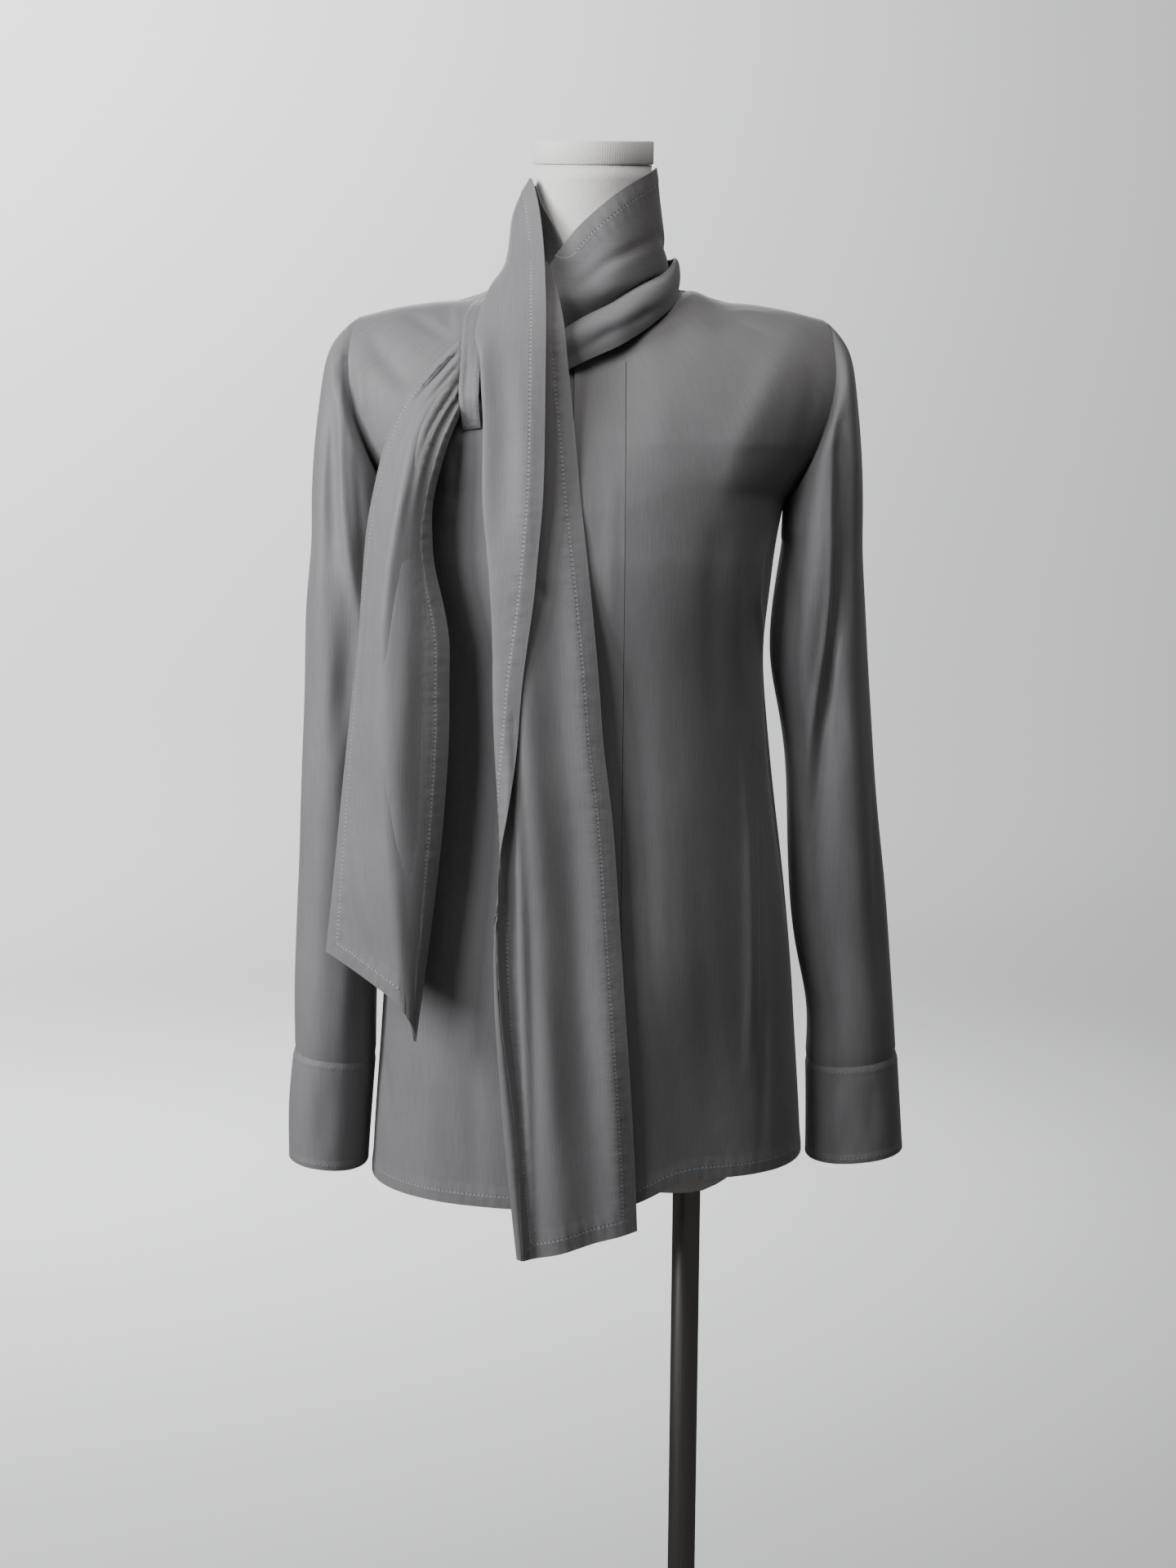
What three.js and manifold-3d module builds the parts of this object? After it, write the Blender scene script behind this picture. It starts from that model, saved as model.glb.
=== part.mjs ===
// A grey long-sleeved blouse with a scarf collar, worn by a limbless dress form on a steel pole and foot.
// Millimetres. The front faces -Y, +X is the viewer's right, +Z is up, and the origin is the middle of
// the foot's underside. The wearer's right side is at -X.

import * as THREE from 'three';
import Module from 'manifold-3d';
import { mergeVertices } from 'three/addons/utils/BufferGeometryUtils.js';

const wasm = await Module();
wasm.setup();

// Driving sizes of the blouse
const CLOTH = 1.2;
const SEAM_HALF_GAP = 0.2;
const HEM_Z = 704;
const HEM_LIFT = 19;
const BUST_Z = 1160;
const UNDERARM_Z = 1225;
const SHOULDER_TIP_X = 174;
const SHOULDER_TIP_Z = 1361;
const SHOULDER_SEAM_Y = 5;
const NECK_POINT_X = 70;
const PLACKET_RIGHT_X = 25;
const PLACKET_LEFT_X = -12;
const UNDERLAP_X = 8;
const UNDERLAP_DEPTH = 2.4;
const UNDERLAP_SLOPE = 6;
const CUFF_SEAM_Z = 797;
const ARMHOLE_STEPS = 10;

// Driving sizes of the dress form and its stand
const NECK_RADIUS = 44;
const NECK_TOP_Z = 1472;
const NECK_CAP_HEIGHT = 17;
const NECK_LEAN = 0.14;
const NECK_TILT = 0.137;
const NECK_BASE_Z = 1390;
const NECK_BASE_Y = 6;
const LOBE_X = 88;
const LOBE_DROP = 16;
const POLE_X = 80.6;
const POLE_RADIUS = 11;
const POLE_TOP_Z = 790;
const PLATE_RADIUS = 160;
const PLATE_HEIGHT = 6;
const FIT_GAP = 0.3;

// The body of the blouse below the bust: level, half widths to the wearer's right and left, depths
const BODY = [
  { z: 690, right: 168, left: 170, front: 117, back: 112 },
  { z: 760, right: 164, left: 166, front: 117, back: 110 },
  { z: 830, right: 159, left: 161, front: 116, back: 106 },
  { z: 910, right: 154, left: 155, front: 114, back: 101 },
  { z: 980, right: 146, left: 146, front: 112, back: 96 },
  { z: 1050, right: 138, left: 138, front: 111, back: 93 },
  { z: 1110, right: 133, left: 133, front: 114, back: 93 },
  { z: 1160, right: 137, left: 137, front: 118, back: 97 },
];
const BODY_SQUARENESS = 2.35;
const NECK_SLOPE = 2.2;

// The armhole seam, from the underarm up to the shoulder tip; swing is how deep the body is at the seam
const ARMHOLE = [
  { z: 1160, x: 137, swing: 0 },
  { z: 1200, x: 141.5, swing: 0 },
  { z: 1225, x: 147, swing: 0 },
  { z: 1231, x: 151, swing: 16 },
  { z: 1245, x: 159, swing: 36 },
  { z: 1267, x: 168, swing: 50 },
  { z: 1293, x: 177, swing: 60 },
  { z: 1320, x: 181, swing: 66 },
  { z: 1342, x: 180, swing: 64 },
  { z: 1357, x: 177, swing: 58 },
  { z: 1361, x: 174, swing: 55 },
];

// The top edge: neckline at the front and at the back, and the shoulder seam
const NECK_FRONT = [
  { x: 0, y: -67, z: 1331 },
  { x: 12, y: -66, z: 1335 },
  { x: 41, y: -56, z: 1351 },
  { x: 57, y: -40, z: 1360 },
  { x: 66, y: -20, z: 1371 },
  { x: 70, y: 5, z: 1382 },
];
const NECK_BACK = [
  { x: 0, y: 77, z: 1386 },
  { x: 35, y: 69, z: 1387 },
  { x: 57, y: 48, z: 1386 },
  { x: 66, y: 26, z: 1385 },
  { x: 70, y: 5, z: 1382 },
];
const SHOULDER = [
  { x: 70, z: 1382 },
  { x: 80, z: 1378 },
  { x: 92, z: 1375 },
  { x: 110, z: 1373 },
  { x: 140, z: 1369 },
  { x: 174, z: 1361 },
];

// Soft folds of the front: a line from one end to the other, its depth (minus is a ridge) and its width
const FRONT_FOLDS = [
  { x0: -160, z0: 1345, x1: -100, z1: 1290, deep: 4, wide: 10 },
  { x0: -128, z0: 1370, x1: -96, z1: 1335, deep: 3, wide: 8 },
  { x0: 165, z0: 1330, x1: 100, z1: 1200, deep: -4, wide: 26 },
  { x0: 138, z0: 1270, x1: 125, z1: 1110, deep: 4, wide: 16 },
  { x0: 60, z0: 1120, x1: 80, z1: 800, deep: -4, wide: 26 },
  { x0: 116, z0: 1100, x1: 128, z1: 760, deep: 5, wide: 18 },
  { x0: 84, z0: 900, x1: 92, z1: 600, deep: 9, wide: 46 },
  { x0: -84, z0: 1170, x1: -90, z1: 860, deep: 4, wide: 20 },
  { x0: -120, z0: 1060, x1: -132, z1: 740, deep: -4, wide: 18 },
];
const BACK_FOLDS = [
  { x0: -120, z0: 1320, x1: -70, z1: 1180, deep: 4, wide: 14 },
  { x0: 120, z0: 1320, x1: 76, z1: 1170, deep: 4, wide: 14 },
  { x0: -58, z0: 1180, x1: -72, z1: 760, deep: 6, wide: 16 },
  { x0: 48, z0: 1200, x1: 66, z1: 760, deep: 5, wide: 18 },
  { x0: 0, z0: 1150, x1: -6, z1: 800, deep: -5, wide: 20 },
  { x0: 118, z0: 1080, x1: 126, z1: 760, deep: -4, wide: 14 },
];

// Sleeves below the armhole: level, inner and outer side, half depth
const SLEEVE_LEFT = [
  { z: 797, inner: 172, outer: 242, deep: 42 },
  { z: 832, inner: 172.5, outer: 239, deep: 45 },
  { z: 868, inner: 165, outer: 236, deep: 47 },
  { z: 903, inner: 160, outer: 232.5, deep: 49 },
  { z: 940, inner: 156, outer: 229, deep: 51 },
  { z: 1005, inner: 153, outer: 221, deep: 54 },
  { z: 1045, inner: 150, outer: 217.5, deep: 56 },
  { z: 1080, inner: 143, outer: 214.5, deep: 58 },
  { z: 1110, inner: 138.5, outer: 212, deep: 60 },
  { z: 1150, inner: 140, outer: 209, deep: 62 },
  { z: 1190, inner: 145.5, outer: 206, deep: 63 },
];
const SLEEVE_RIGHT = [
  { z: 797, inner: 164.5, outer: 227, deep: 42 },
  { z: 834, inner: 164, outer: 226.5, deep: 45 },
  { z: 922, inner: 160, outer: 223, deep: 50 },
  { z: 1009, inner: 153, outer: 220, deep: 54 },
  { z: 1075, inner: 143, outer: 217, deep: 58 },
  { z: 1110, inner: 138.5, outer: 216, deep: 60 },
  { z: 1150, inner: 140, outer: 214.5, deep: 62 },
  { z: 1190, inner: 145.5, outer: 210.5, deep: 63 },
];
const CUFF_LEFT = [
  { z: 721, inner: 173.5, outer: 249, deep: 43 },
  { z: 760, inner: 173, outer: 246, deep: 43 },
  { z: 797, inner: 172, outer: 243, deep: 42.5 },
];
const CUFF_RIGHT = [
  { z: 712, inner: 171, outer: 232.5, deep: 43 },
  { z: 745, inner: 168.5, outer: 232.5, deep: 43 },
  { z: 797, inner: 164.5, outer: 228, deep: 42.5 },
];
const SLEEVE_Y = -5;
const SLEEVE_SQUARENESS = 2.2;
const CUFF_TILT = 0.1;
// The long fold down the front of a sleeve: level and distance from the body's middle
const SLEEVE_FOLD = [
  { z: 797, x: 170 },
  { z: 991, x: 163 },
  { z: 1063, x: 168 },
  { z: 1106, x: 171 },
  { z: 1175, x: 177 },
  { z: 1240, x: 181 },
  { z: 1337, x: 183 },
];
const SLEEVE_FOLD_DEEP = 7;
const SLEEVE_FOLD_WIDE = 8;

// The scarf's upper stretch round the neck, by turn from the front towards the viewer's right
const NECK_WRAP = [
  { turn: -38, top: 1393, ridge: 1364, crease: 1338, clear: 1.9, forward: 16 },
  { turn: -20, top: 1415, ridge: 1369, crease: 1350, clear: 1.9, forward: 3 },
  { turn: 0, top: 1432, ridge: 1375, crease: 1363, clear: 0.6, forward: 0 },
  { turn: 30, top: 1451, ridge: 1385, crease: 1379, clear: 0, forward: 0 },
  { turn: 60, top: 1463, ridge: 1394, crease: 1391, clear: 0, forward: 0 },
  { turn: 90, top: 1470, ridge: 1399, crease: 1395, clear: 0, forward: 0 },
  { turn: 135, top: 1468, ridge: 1402, crease: 1396, clear: 0, forward: 0 },
  { turn: 180, top: 1461, ridge: 1403, crease: 1396, clear: 0.6, forward: 0 },
  { turn: 215, top: 1449, ridge: 1403, crease: 1396, clear: 1.9, forward: 0 },
  { turn: 262, top: 1430, ridge: 1402, crease: 1395, clear: 1.9, forward: 0 },
];
const WRAP_RIDGE = 56;
const WRAP_CREASE = 54.5;
// How far the scarf lies from the neck's middle at a level
const NECK_SPREAD = [
  { z: 1385, r: 55 },
  { z: 1392, r: 52.3 },
  { z: 1400, r: 49.3 },
  { z: 1412, r: 47.3 },
  { z: 1432, r: 46.1 },
  { z: 1470, r: 45.9 },
];
// The scarf's inner stretch, which stands up on the viewer's left and dips in front of the neck
const NECK_STAND = [
  { turn: 212, top: 1438 },
  { turn: 255, top: 1432 },
  { turn: 280, top: 1440 },
  { turn: 297, top: 1455 },
  { turn: 305, top: 1443 },
  { turn: 320, top: 1428 },
  { turn: 333, top: 1411 },
  { turn: 342, top: 1400 },
];
const STAND_LOW = 1389;
// The scarf's lower roll, which is sewn into the neckline
const NECK_ROLL = [
  { turn: -13, top: 1349, swell: 1338, low: 1316, reach: 50, out: 73.6 },
  { turn: 0, top: 1359.5, swell: 1349, low: 1327, reach: 50, out: 71.5 },
  { turn: 15, top: 1369, swell: 1358, low: 1339, reach: 50, out: 70 },
  { turn: 30, top: 1377, swell: 1366, low: 1349, reach: 52, out: 68 },
  { turn: 45, top: 1383.5, swell: 1374, low: 1359, reach: 54, out: 67 },
  { turn: 60, top: 1389.5, swell: 1381, low: 1367, reach: 57.5, out: 66 },
  { turn: 75, top: 1398, swell: 1388, low: 1376, reach: 60, out: 65 },
  { turn: 90, top: 1405, swell: 1396, low: 1385, reach: 60.5, out: 65 },
  { turn: 135, top: 1406, swell: 1398, low: 1388, reach: 61, out: 66 },
  { turn: 180, top: 1406, swell: 1398, low: 1388, reach: 61, out: 66 },
  { turn: 262, top: 1397, swell: 1393, low: 1386, reach: 62, out: 67 },
];
const COLLAR_FRONT = 1.2;
const COLLAR_BACK = 1.0;

// The long end: free edge, lengthwise fold and the far edge of its back layer
const LONG_END = [
  { s: 0, ex: -48.3, ey: 5.6, ez: 1430, fx: -55.8, fy: 11.5, fz: 1402, rx: -54.2, ry: 12, rz: 1395 },
  { s: 1, ex: -49.5, ey: -8, ez: 1447, fx: -59.5, fy: 2, fz: 1405, rx: -56.5, ry: 0, rz: 1394 },
  { s: 2, ex: -45.8, ey: -25, ez: 1459.7, fx: -61, fy: -16, fz: 1402, rx: -56.5, ry: -14, rz: 1390 },
  { s: 3, ex: -39.8, ey: -40, ez: 1440.5, fx: -64, fy: -32, fz: 1394, rx: -50, ry: -39, rz: 1392 },
  { s: 4, ex: -35.7, ey: -57, ez: 1413.2, fx: -70.9, fy: -46, fz: 1385, rx: -34.4, ry: -57, rz: 1398.2 },
  { s: 5, ex: -33.4, ey: -78, ez: 1383.8, fx: -79.4, fy: -68, fz: 1364.7, rx: -23.9, ry: -75, rz: 1371.5 },
  { s: 6, ex: -32.4, ey: -96, ez: 1351.1, fx: -83.1, fy: -89, fz: 1342.6, rx: -19.5, ry: -88, rz: 1348.9 },
  { s: 7, ex: -32.3, ey: -108, ez: 1319.3, fx: -79.1, fy: -99, fz: 1325, rx: -16.4, ry: -95, rz: 1319.9 },
  { s: 8, ex: -32.5, ey: -118, ez: 1267.7, fx: -76.8, fy: -109, fz: 1278.9, rx: -11.3, ry: -104, rz: 1273.8 },
  { s: 9, ex: -33.3, ey: -125, ez: 1227.8, fx: -77, fy: -116, fz: 1233, rx: -6.9, ry: -112, rz: 1227.8 },
  { s: 10, ex: -36, ey: -129, ez: 1195, fx: -74, fy: -121, fz: 1195, rx: -3, ry: -118, rz: 1195 },
  { s: 11, ex: -40, ey: -132, ez: 1150, fx: -70, fy: -124, fz: 1150, rx: 2, ry: -122, rz: 1150 },
  { s: 12, ex: -47, ey: -133, ez: 1100, fx: -68, fy: -125, fz: 1100, rx: 7, ry: -124, rz: 1100 },
  { s: 13, ex: -51, ey: -134, ez: 1050, fx: -66, fy: -126, fz: 1050, rx: 11, ry: -124, rz: 1050 },
  { s: 14, ex: -57, ey: -135, ez: 1005, fx: -64, fy: -127, fz: 1005, rx: 17, ry: -124, rz: 1005 },
  { s: 15, ex: -64, ey: -134, ez: 960, fx: -62, fy: -127, fz: 960, rx: 21, ry: -124, rz: 960 },
  { s: 16, ex: -67, ey: -131, ez: 890, fx: -60, fy: -127, fz: 890, rx: 26, ry: -124, rz: 890 },
  { s: 17, ex: -63, ey: -130, ez: 810, fx: -53, fy: -127, fz: 810, rx: 32, ry: -123, rz: 810 },
  { s: 18, ex: -58, ey: -130, ez: 750, fx: -47, fy: -127, fz: 750, rx: 36, ry: -121, rz: 750 },
  { s: 19, ex: -49.5, ey: -129, ez: 671, fx: -41, fy: -127, fz: 670, rx: 39, ry: -119, rz: 690 },
];
const LONG_END_STEPS = 28;
const LONG_END_SAG = 11;
const LONG_END_BULGE = 5;

// The short end: upper edge, front ridge and inner edge
const SHORT_END = [
  { s: 0, lx: -95.2, ly: -70, lz: 1338.9, mx: -94, my: -80, mz: 1317, rx: -92.4, ry: -88, rz: 1294.2 },
  { s: 1, lx: -114.4, ly: -74, lz: 1320, mx: -106.7, my: -93, mz: 1298.6, rx: -96.1, ry: -95, rz: 1283.6 },
  { s: 2, lx: -133.8, ly: -76, lz: 1296.5, mx: -118.1, my: -106, mz: 1279.8, rx: -101.4, ry: -103, rz: 1269.6 },
  { s: 3, lx: -145, ly: -77, lz: 1273.1, mx: -126.1, my: -116, mz: 1259.6, rx: -108, ry: -110, rz: 1247.1 },
  { s: 4, lx: -154.5, ly: -78, lz: 1237.9, mx: -133.6, my: -124, mz: 1225.8, rx: -113.6, ry: -114, rz: 1215.5 },
  { s: 5, lx: -161.7, ly: -79, lz: 1196.7, mx: -139.1, my: -129, mz: 1193.8, rx: -111.7, ry: -117, rz: 1180.9 },
  { s: 6, lx: -167.3, ly: -81, lz: 1123.7, mx: -146.5, my: -133, mz: 1127.7, rx: -100.5, ry: -120, rz: 1127.1 },
  { s: 7, lx: -173.5, ly: -82, lz: 1068.5, mx: -146.5, my: -135, mz: 1071.6, rx: -100.4, ry: -121, rz: 1070.4 },
  { s: 8, lx: -179.8, ly: -83, lz: 1011.2, mx: -144.4, my: -136, mz: 1016, rx: -103.3, ry: -122, rz: 1014.4 },
  { s: 9, lx: -186.1, ly: -84, lz: 950.2, mx: -140.5, my: -136, mz: 956.9, rx: -109.2, ry: -123, rz: 954.8 },
  { s: 10, lx: -192.5, ly: -85, lz: 891.9, mx: -136.3, my: -134, mz: 864.9, rx: -125.2, ry: -126, rz: 834.4 },
];
const SHORT_END_STEPS = 20;
const SHORT_END_COLUMNS = 12;
const SHORT_END_PLEATS = 5;
const SHORT_END_PLEAT_DEEP = 3.2;

// The stretch that crosses from the neck to the keeper loop, under the long end; it ends at the short end
const CROSSING = [
  { s: 0, tx: -35, ty: -52, tz: 1392, lx: -35, lz: 1338, bulge: 5 },
  { s: 1, tx: -53, ty: -60, tz: 1376, lx: -52, lz: 1321, bulge: 4 },
  { s: 2, tx: -74, ty: -65, tz: 1355, lx: -72, lz: 1305, bulge: 2 },
  { s: 3, tx: -93.8, ty: -70, tz: 1339.2, lx: -91, lz: 1294.5, bulge: 0 },
];

// The keeper loop: a band sewn down at both ends, with the scarf passing under it
const KEEPER = [
  { level: 1.36, x: -85, lift: 0.4 },
  { level: 1.385, x: -85, lift: 4 },
  { level: 1.41, x: -85, lift: 9 },
  { level: 1.46, x: -85, lift: 10.5 },
  { level: 1.55, x: -84.5, lift: 12 },
  { level: 1.64, x: -83.5, lift: 12.5 },
  { level: 1.72, x: -81, lift: 9 },
  { level: 1.8, x: -78, lift: 3.5 },
  { level: 1.88, x: -75, lift: 0.4 },
];
const KEEPER_HALF_WIDTH = 6.5;

// The form's torso: level, half width, half depth, middle
const TORSO = [
  { z: 697, half: 60, deep: 40, y: 0 },
  { z: 701, half: 96, deep: 62, y: 0 },
  { z: 712, half: 122, deep: 80, y: 0 },
  { z: 735, half: 141, deep: 92, y: 0 },
  { z: 775, half: 151, deep: 98, y: 0 },
  { z: 850, half: 147, deep: 94, y: -1 },
  { z: 930, half: 131, deep: 85, y: -3 },
  { z: 1000, half: 116, deep: 78, y: -4 },
  { z: 1060, half: 110, deep: 76, y: -6 },
  { z: 1120, half: 119, deep: 86, y: -10 },
  { z: 1165, half: 127, deep: 96, y: -12 },
  { z: 1210, half: 133, deep: 90, y: -7 },
  { z: 1260, half: 147, deep: 78, y: -2 },
  { z: 1305, half: 160, deep: 66, y: 3 },
  { z: 1335, half: 160, deep: 54, y: 5 },
  { z: 1352, half: 152, deep: 38, y: 5 },
  { z: 1362.5, half: 139, deep: 18, y: 5 },
  { z: 1370, half: 108, deep: 13, y: 5 },
  { z: 1372.8, half: 86, deep: 17, y: 5 },
  { z: 1377, half: 66, deep: 24, y: 5 },
  { z: 1385, half: 55, deep: 40, y: 6 },
  { z: 1392, half: 50, deep: 46, y: 6 },
  { z: 1400, half: 47, deep: 46, y: 4.6 },
  { z: 1412, half: 45, deep: 45, y: 2.9 },
  { z: 1432, half: NECK_RADIUS, deep: NECK_RADIUS, y: 0.1 },
  { z: NECK_TOP_Z, half: NECK_RADIUS, deep: NECK_RADIUS, y: -5.5 },
];
const TORSO_SEGMENTS = 32;
const TORSO_SQUARENESS = 2.15;

const CLOTH_GREY = new THREE.MeshStandardMaterial({ color: 0x77767a, roughness: 0.85, metalness: 0 });
const FORM_COVER = new THREE.MeshStandardMaterial({ color: 0xe9e6df, roughness: 0.9, metalness: 0 });
const STEEL = new THREE.MeshStandardMaterial({ color: 0xa9a7a3, roughness: 0.35, metalness: 1 });

const HALF_TURN = Math.PI / 2;

// A smooth curve through a table's rows, from one named column to another, without overshoot
function through(rows, keyName, valueName) {
  const keys = rows.map((row) => row[keyName]);
  const values = rows.map((row) => row[valueName]);
  const last = keys.length - 1;
  const slope = (i) => (values[i + 1] - values[i]) / (keys[i + 1] - keys[i]);
  const tangent = (i) => {
    if (i === 0) return slope(0);
    if (i === last) return slope(last - 1);
    const before = slope(i - 1);
    const after = slope(i);
    return before * after <= 0 ? 0 : (2 * before * after) / (before + after);
  };
  return (key) => {
    const inside = Math.min(Math.max(key, keys[0]), keys[last]);
    let i = 0;
    while (i < last - 1 && inside > keys[i + 1]) i += 1;
    const span = keys[i + 1] - keys[i];
    const u = (inside - keys[i]) / span;
    const fromStart = values[i] * (1 + 2 * u) + tangent(i) * span * u;
    const fromEnd = values[i + 1] * (3 - 2 * u) - tangent(i + 1) * span * (1 - u);
    return fromStart * (1 - u) ** 2 + fromEnd * u ** 2;
  };
}

// Every named column of a table as its own curve
function columns(rows, keyName) {
  const curves = {};
  for (const name of Object.keys(rows[0])) {
    if (name !== keyName) curves[name] = through(rows, keyName, name);
  }
  return curves;
}

function solidFrom(points, triangles) {
  let volume = 0;
  for (const [a, b, c] of triangles) {
    volume += points[a].dot(points[b].clone().cross(points[c]));
  }
  const geometry = new THREE.BufferGeometry();
  geometry.setAttribute('position', new THREE.Float32BufferAttribute(points.flatMap((p) => p.toArray()), 3));
  geometry.setIndex(triangles.flatMap(([a, b, c]) => (volume > 0 ? [a, b, c] : [a, c, b])));
  return geometry;
}

// A wall of cloth: the grid's points are its outer side, and the inner side lies one thickness behind.
// A positive thickness goes against the normal (along a row) x (up a column).
function clothWall(grid, thickness, round = false, steer = null) {
  const rows = grid.length;
  const cols = grid[0].length;
  const at = (r, c) => {
    const column = round ? (c + cols) % cols : Math.min(Math.max(c, 0), cols - 1);
    return grid[Math.min(Math.max(r, 0), rows - 1)][column];
  };
  const outer = [];
  const inner = [];
  for (let r = 0; r < rows; r += 1) {
    for (let c = 0; c < cols; c += 1) {
      const along = at(r, c + 1).clone().sub(at(r, c - 1));
      const up = at(r + 1, c).clone().sub(at(r - 1, c));
      const normal = along.cross(up).normalize();
      if (steer) steer(normal, r, c, grid[r][c]);
      outer.push(grid[r][c]);
      inner.push(grid[r][c].clone().addScaledVector(normal, -thickness));
    }
  }
  const back = outer.length;
  const index = (r, c) => r * cols + (c % cols);
  const triangles = [];
  const quad = (a, b, c, d) => triangles.push([a, b, c], [a, c, d]);
  const spans = round ? cols : cols - 1;
  for (let r = 0; r < rows - 1; r += 1) {
    for (let c = 0; c < spans; c += 1) {
      const [a, b, d, e] = [index(r, c), index(r, c + 1), index(r + 1, c + 1), index(r + 1, c)];
      quad(a, b, d, e);
      quad(back + a, back + e, back + d, back + b);
    }
  }
  for (let c = 0; c < spans; c += 1) {
    const [a, b] = [index(0, c), index(0, c + 1)];
    quad(a, back + a, back + b, b);
    const [d, e] = [index(rows - 1, c), index(rows - 1, c + 1)];
    quad(d, e, back + e, back + d);
  }
  for (let r = 0; !round && r < rows - 1; r += 1) {
    const [a, b] = [index(r, 0), index(r + 1, 0)];
    quad(a, b, back + b, back + a);
    const [d, e] = [index(r, cols - 1), index(r + 1, cols - 1)];
    quad(d, back + d, back + e, e);
  }
  return solidFrom(outer.concat(inner), triangles);
}

// Depth of the soft folds at a point of a panel
function foldDepth(folds, x, z) {
  let depth = 0;
  for (const fold of folds) {
    const dx = fold.x1 - fold.x0;
    const dz = fold.z1 - fold.z0;
    const along = ((x - fold.x0) * dx + (z - fold.z0) * dz) / (dx * dx + dz * dz);
    const inside = Math.min(Math.max(along, 0), 1);
    const away = Math.hypot(x - fold.x0 - dx * inside, z - fold.z0 - dz * inside);
    depth += fold.deep * Math.sin(Math.PI * Math.min(Math.max(inside, 0.08), 0.92)) * Math.exp(-((away / fold.wide) ** 2));
  }
  return depth;
}

const body = columns(BODY, 'z');
const armhole = columns(ARMHOLE, 'z');
const neckFront = columns(NECK_FRONT, 'x');
const neckBack = columns(NECK_BACK, 'x');
const shoulderZ = through(SHOULDER, 'x', 'z');

// Height of the side edge at a level: 0 is the hem, 1 the bust, 2 the top
function sideHeight(level) {
  if (level <= 1) return HEM_Z + (BUST_Z - HEM_Z) * level;
  return BUST_Z + (SHOULDER_TIP_Z - BUST_Z) * Math.sin((level - 1) * HALF_TURN);
}

function sideX(level, sign) {
  if (level > 1) return armhole.x(sideHeight(level));
  return sign < 0 ? body.right(sideHeight(level)) : body.left(sideHeight(level));
}

function topEdge(x, isBack) {
  const away = Math.abs(x);
  if (away >= NECK_POINT_X) return { y: SHOULDER_SEAM_Y, z: shoulderZ(away) };
  const neck = isBack ? neckBack : neckFront;
  return { y: neck.y(away), z: neck.z(away) };
}

function hemRise(x) {
  const u = Math.min(Math.max((x - 20) / 60, 0), 1);
  return HEM_LIFT * u * u * (3 - 2 * u);
}

// How much wider the body would be at a level if it ran on past the armhole seam
function narrowing(level, depth) {
  if (level <= 1) return 1;
  const swing = armhole.swing(sideHeight(level)) / depth;
  return (1 - swing ** BODY_SQUARENESS) ** (1 / BODY_SQUARENESS);
}

function smooth(from, to, value) {
  const u = Math.min(Math.max((value - from) / (to - from), 0), 1);
  return u * u * (3 - 2 * u);
}

// A point of the blouse's body at a distance x from the middle and a level
function bodyPoint(x, level, isBack) {
  const sign = x < 0 ? -1 : 1;
  const across = Math.min(Math.abs(x) / sideX(level, sign), 1);
  const height = sideHeight(level);
  const depth = (isBack ? body.back : body.front)(Math.min(height, BUST_Z));
  const face = isBack ? 1 : -1;
  const share = across * narrowing(level, depth);
  const start = face * depth * (1 - share ** BODY_SQUARENESS) ** (1 / BODY_SQUARENESS);
  const folds = foldDepth(isBack ? BACK_FOLDS : FRONT_FOLDS, x, height) * (1 - across ** 6);
  if (level <= 1) {
    return new THREE.Vector3(x, start - face * folds, height + hemRise(x) * (1 - level) ** 3);
  }
  const turn = (level - 1) * HALF_TURN;
  const top = topEdge(across * sign * SHOULDER_TIP_X, isBack);
  const rise = Math.sin(turn);
  const curled = 1 - Math.cos(turn);
  const shoulder = smooth(30, 80, across * SHOULDER_TIP_X);
  const drawn = shoulder * curled + (1 - shoulder) * rise ** NECK_SLOPE;
  const y = start + (top.y - start) * drawn;
  const settle = Math.min(1, (2 - level) * 4);
  return new THREE.Vector3(x, y - face * folds * settle, BUST_Z + (top.z - BUST_Z) * rise);
}

// The same point moved out, square to the cloth
function liftedPoint(x, level, isBack, lift) {
  const step = 0.5;
  const point = bodyPoint(x, level, isBack);
  const along = bodyPoint(x + step, level, isBack).sub(bodyPoint(x - step, level, isBack));
  const up = bodyPoint(x, Math.min(level + 0.01, 2), isBack).sub(bodyPoint(x, level - 0.01, isBack));
  const normal = along.cross(up).normalize();
  return point.addScaledVector(normal, isBack ? -lift : lift);
}

// The point above the front at a distance x from the middle and a height
function aboveFront(x, z, lift) {
  let low = 1;
  let high = 2;
  for (let i = 0; i < 24; i += 1) {
    const middle = (low + high) / 2;
    if (bodyPoint(x, middle, false).z < z) low = middle;
    else high = middle;
  }
  return liftedPoint(x, low, false, lift);
}

// Levels of the panels' rows; above the underarm they match the steps of the armhole seam
function panelLevels() {
  const levels = [0, 0.12, 0.25, 0.38, 0.52, 0.65, 0.78, 0.9, 1, 1.11];
  const middle = (SHOULDER_TIP_Z + UNDERARM_Z) / 2;
  const reach = (SHOULDER_TIP_Z - UNDERARM_Z) / 2;
  for (let i = 0; i <= ARMHOLE_STEPS; i += 1) {
    const z = middle - reach * Math.cos((Math.PI * i) / ARMHOLE_STEPS);
    const rise = Math.min((z - BUST_Z) / (SHOULDER_TIP_Z - BUST_Z), 1);
    levels.push(1 + Math.asin(rise) / HALF_TURN);
  }
  return levels;
}

const LEVELS = panelLevels();

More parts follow.
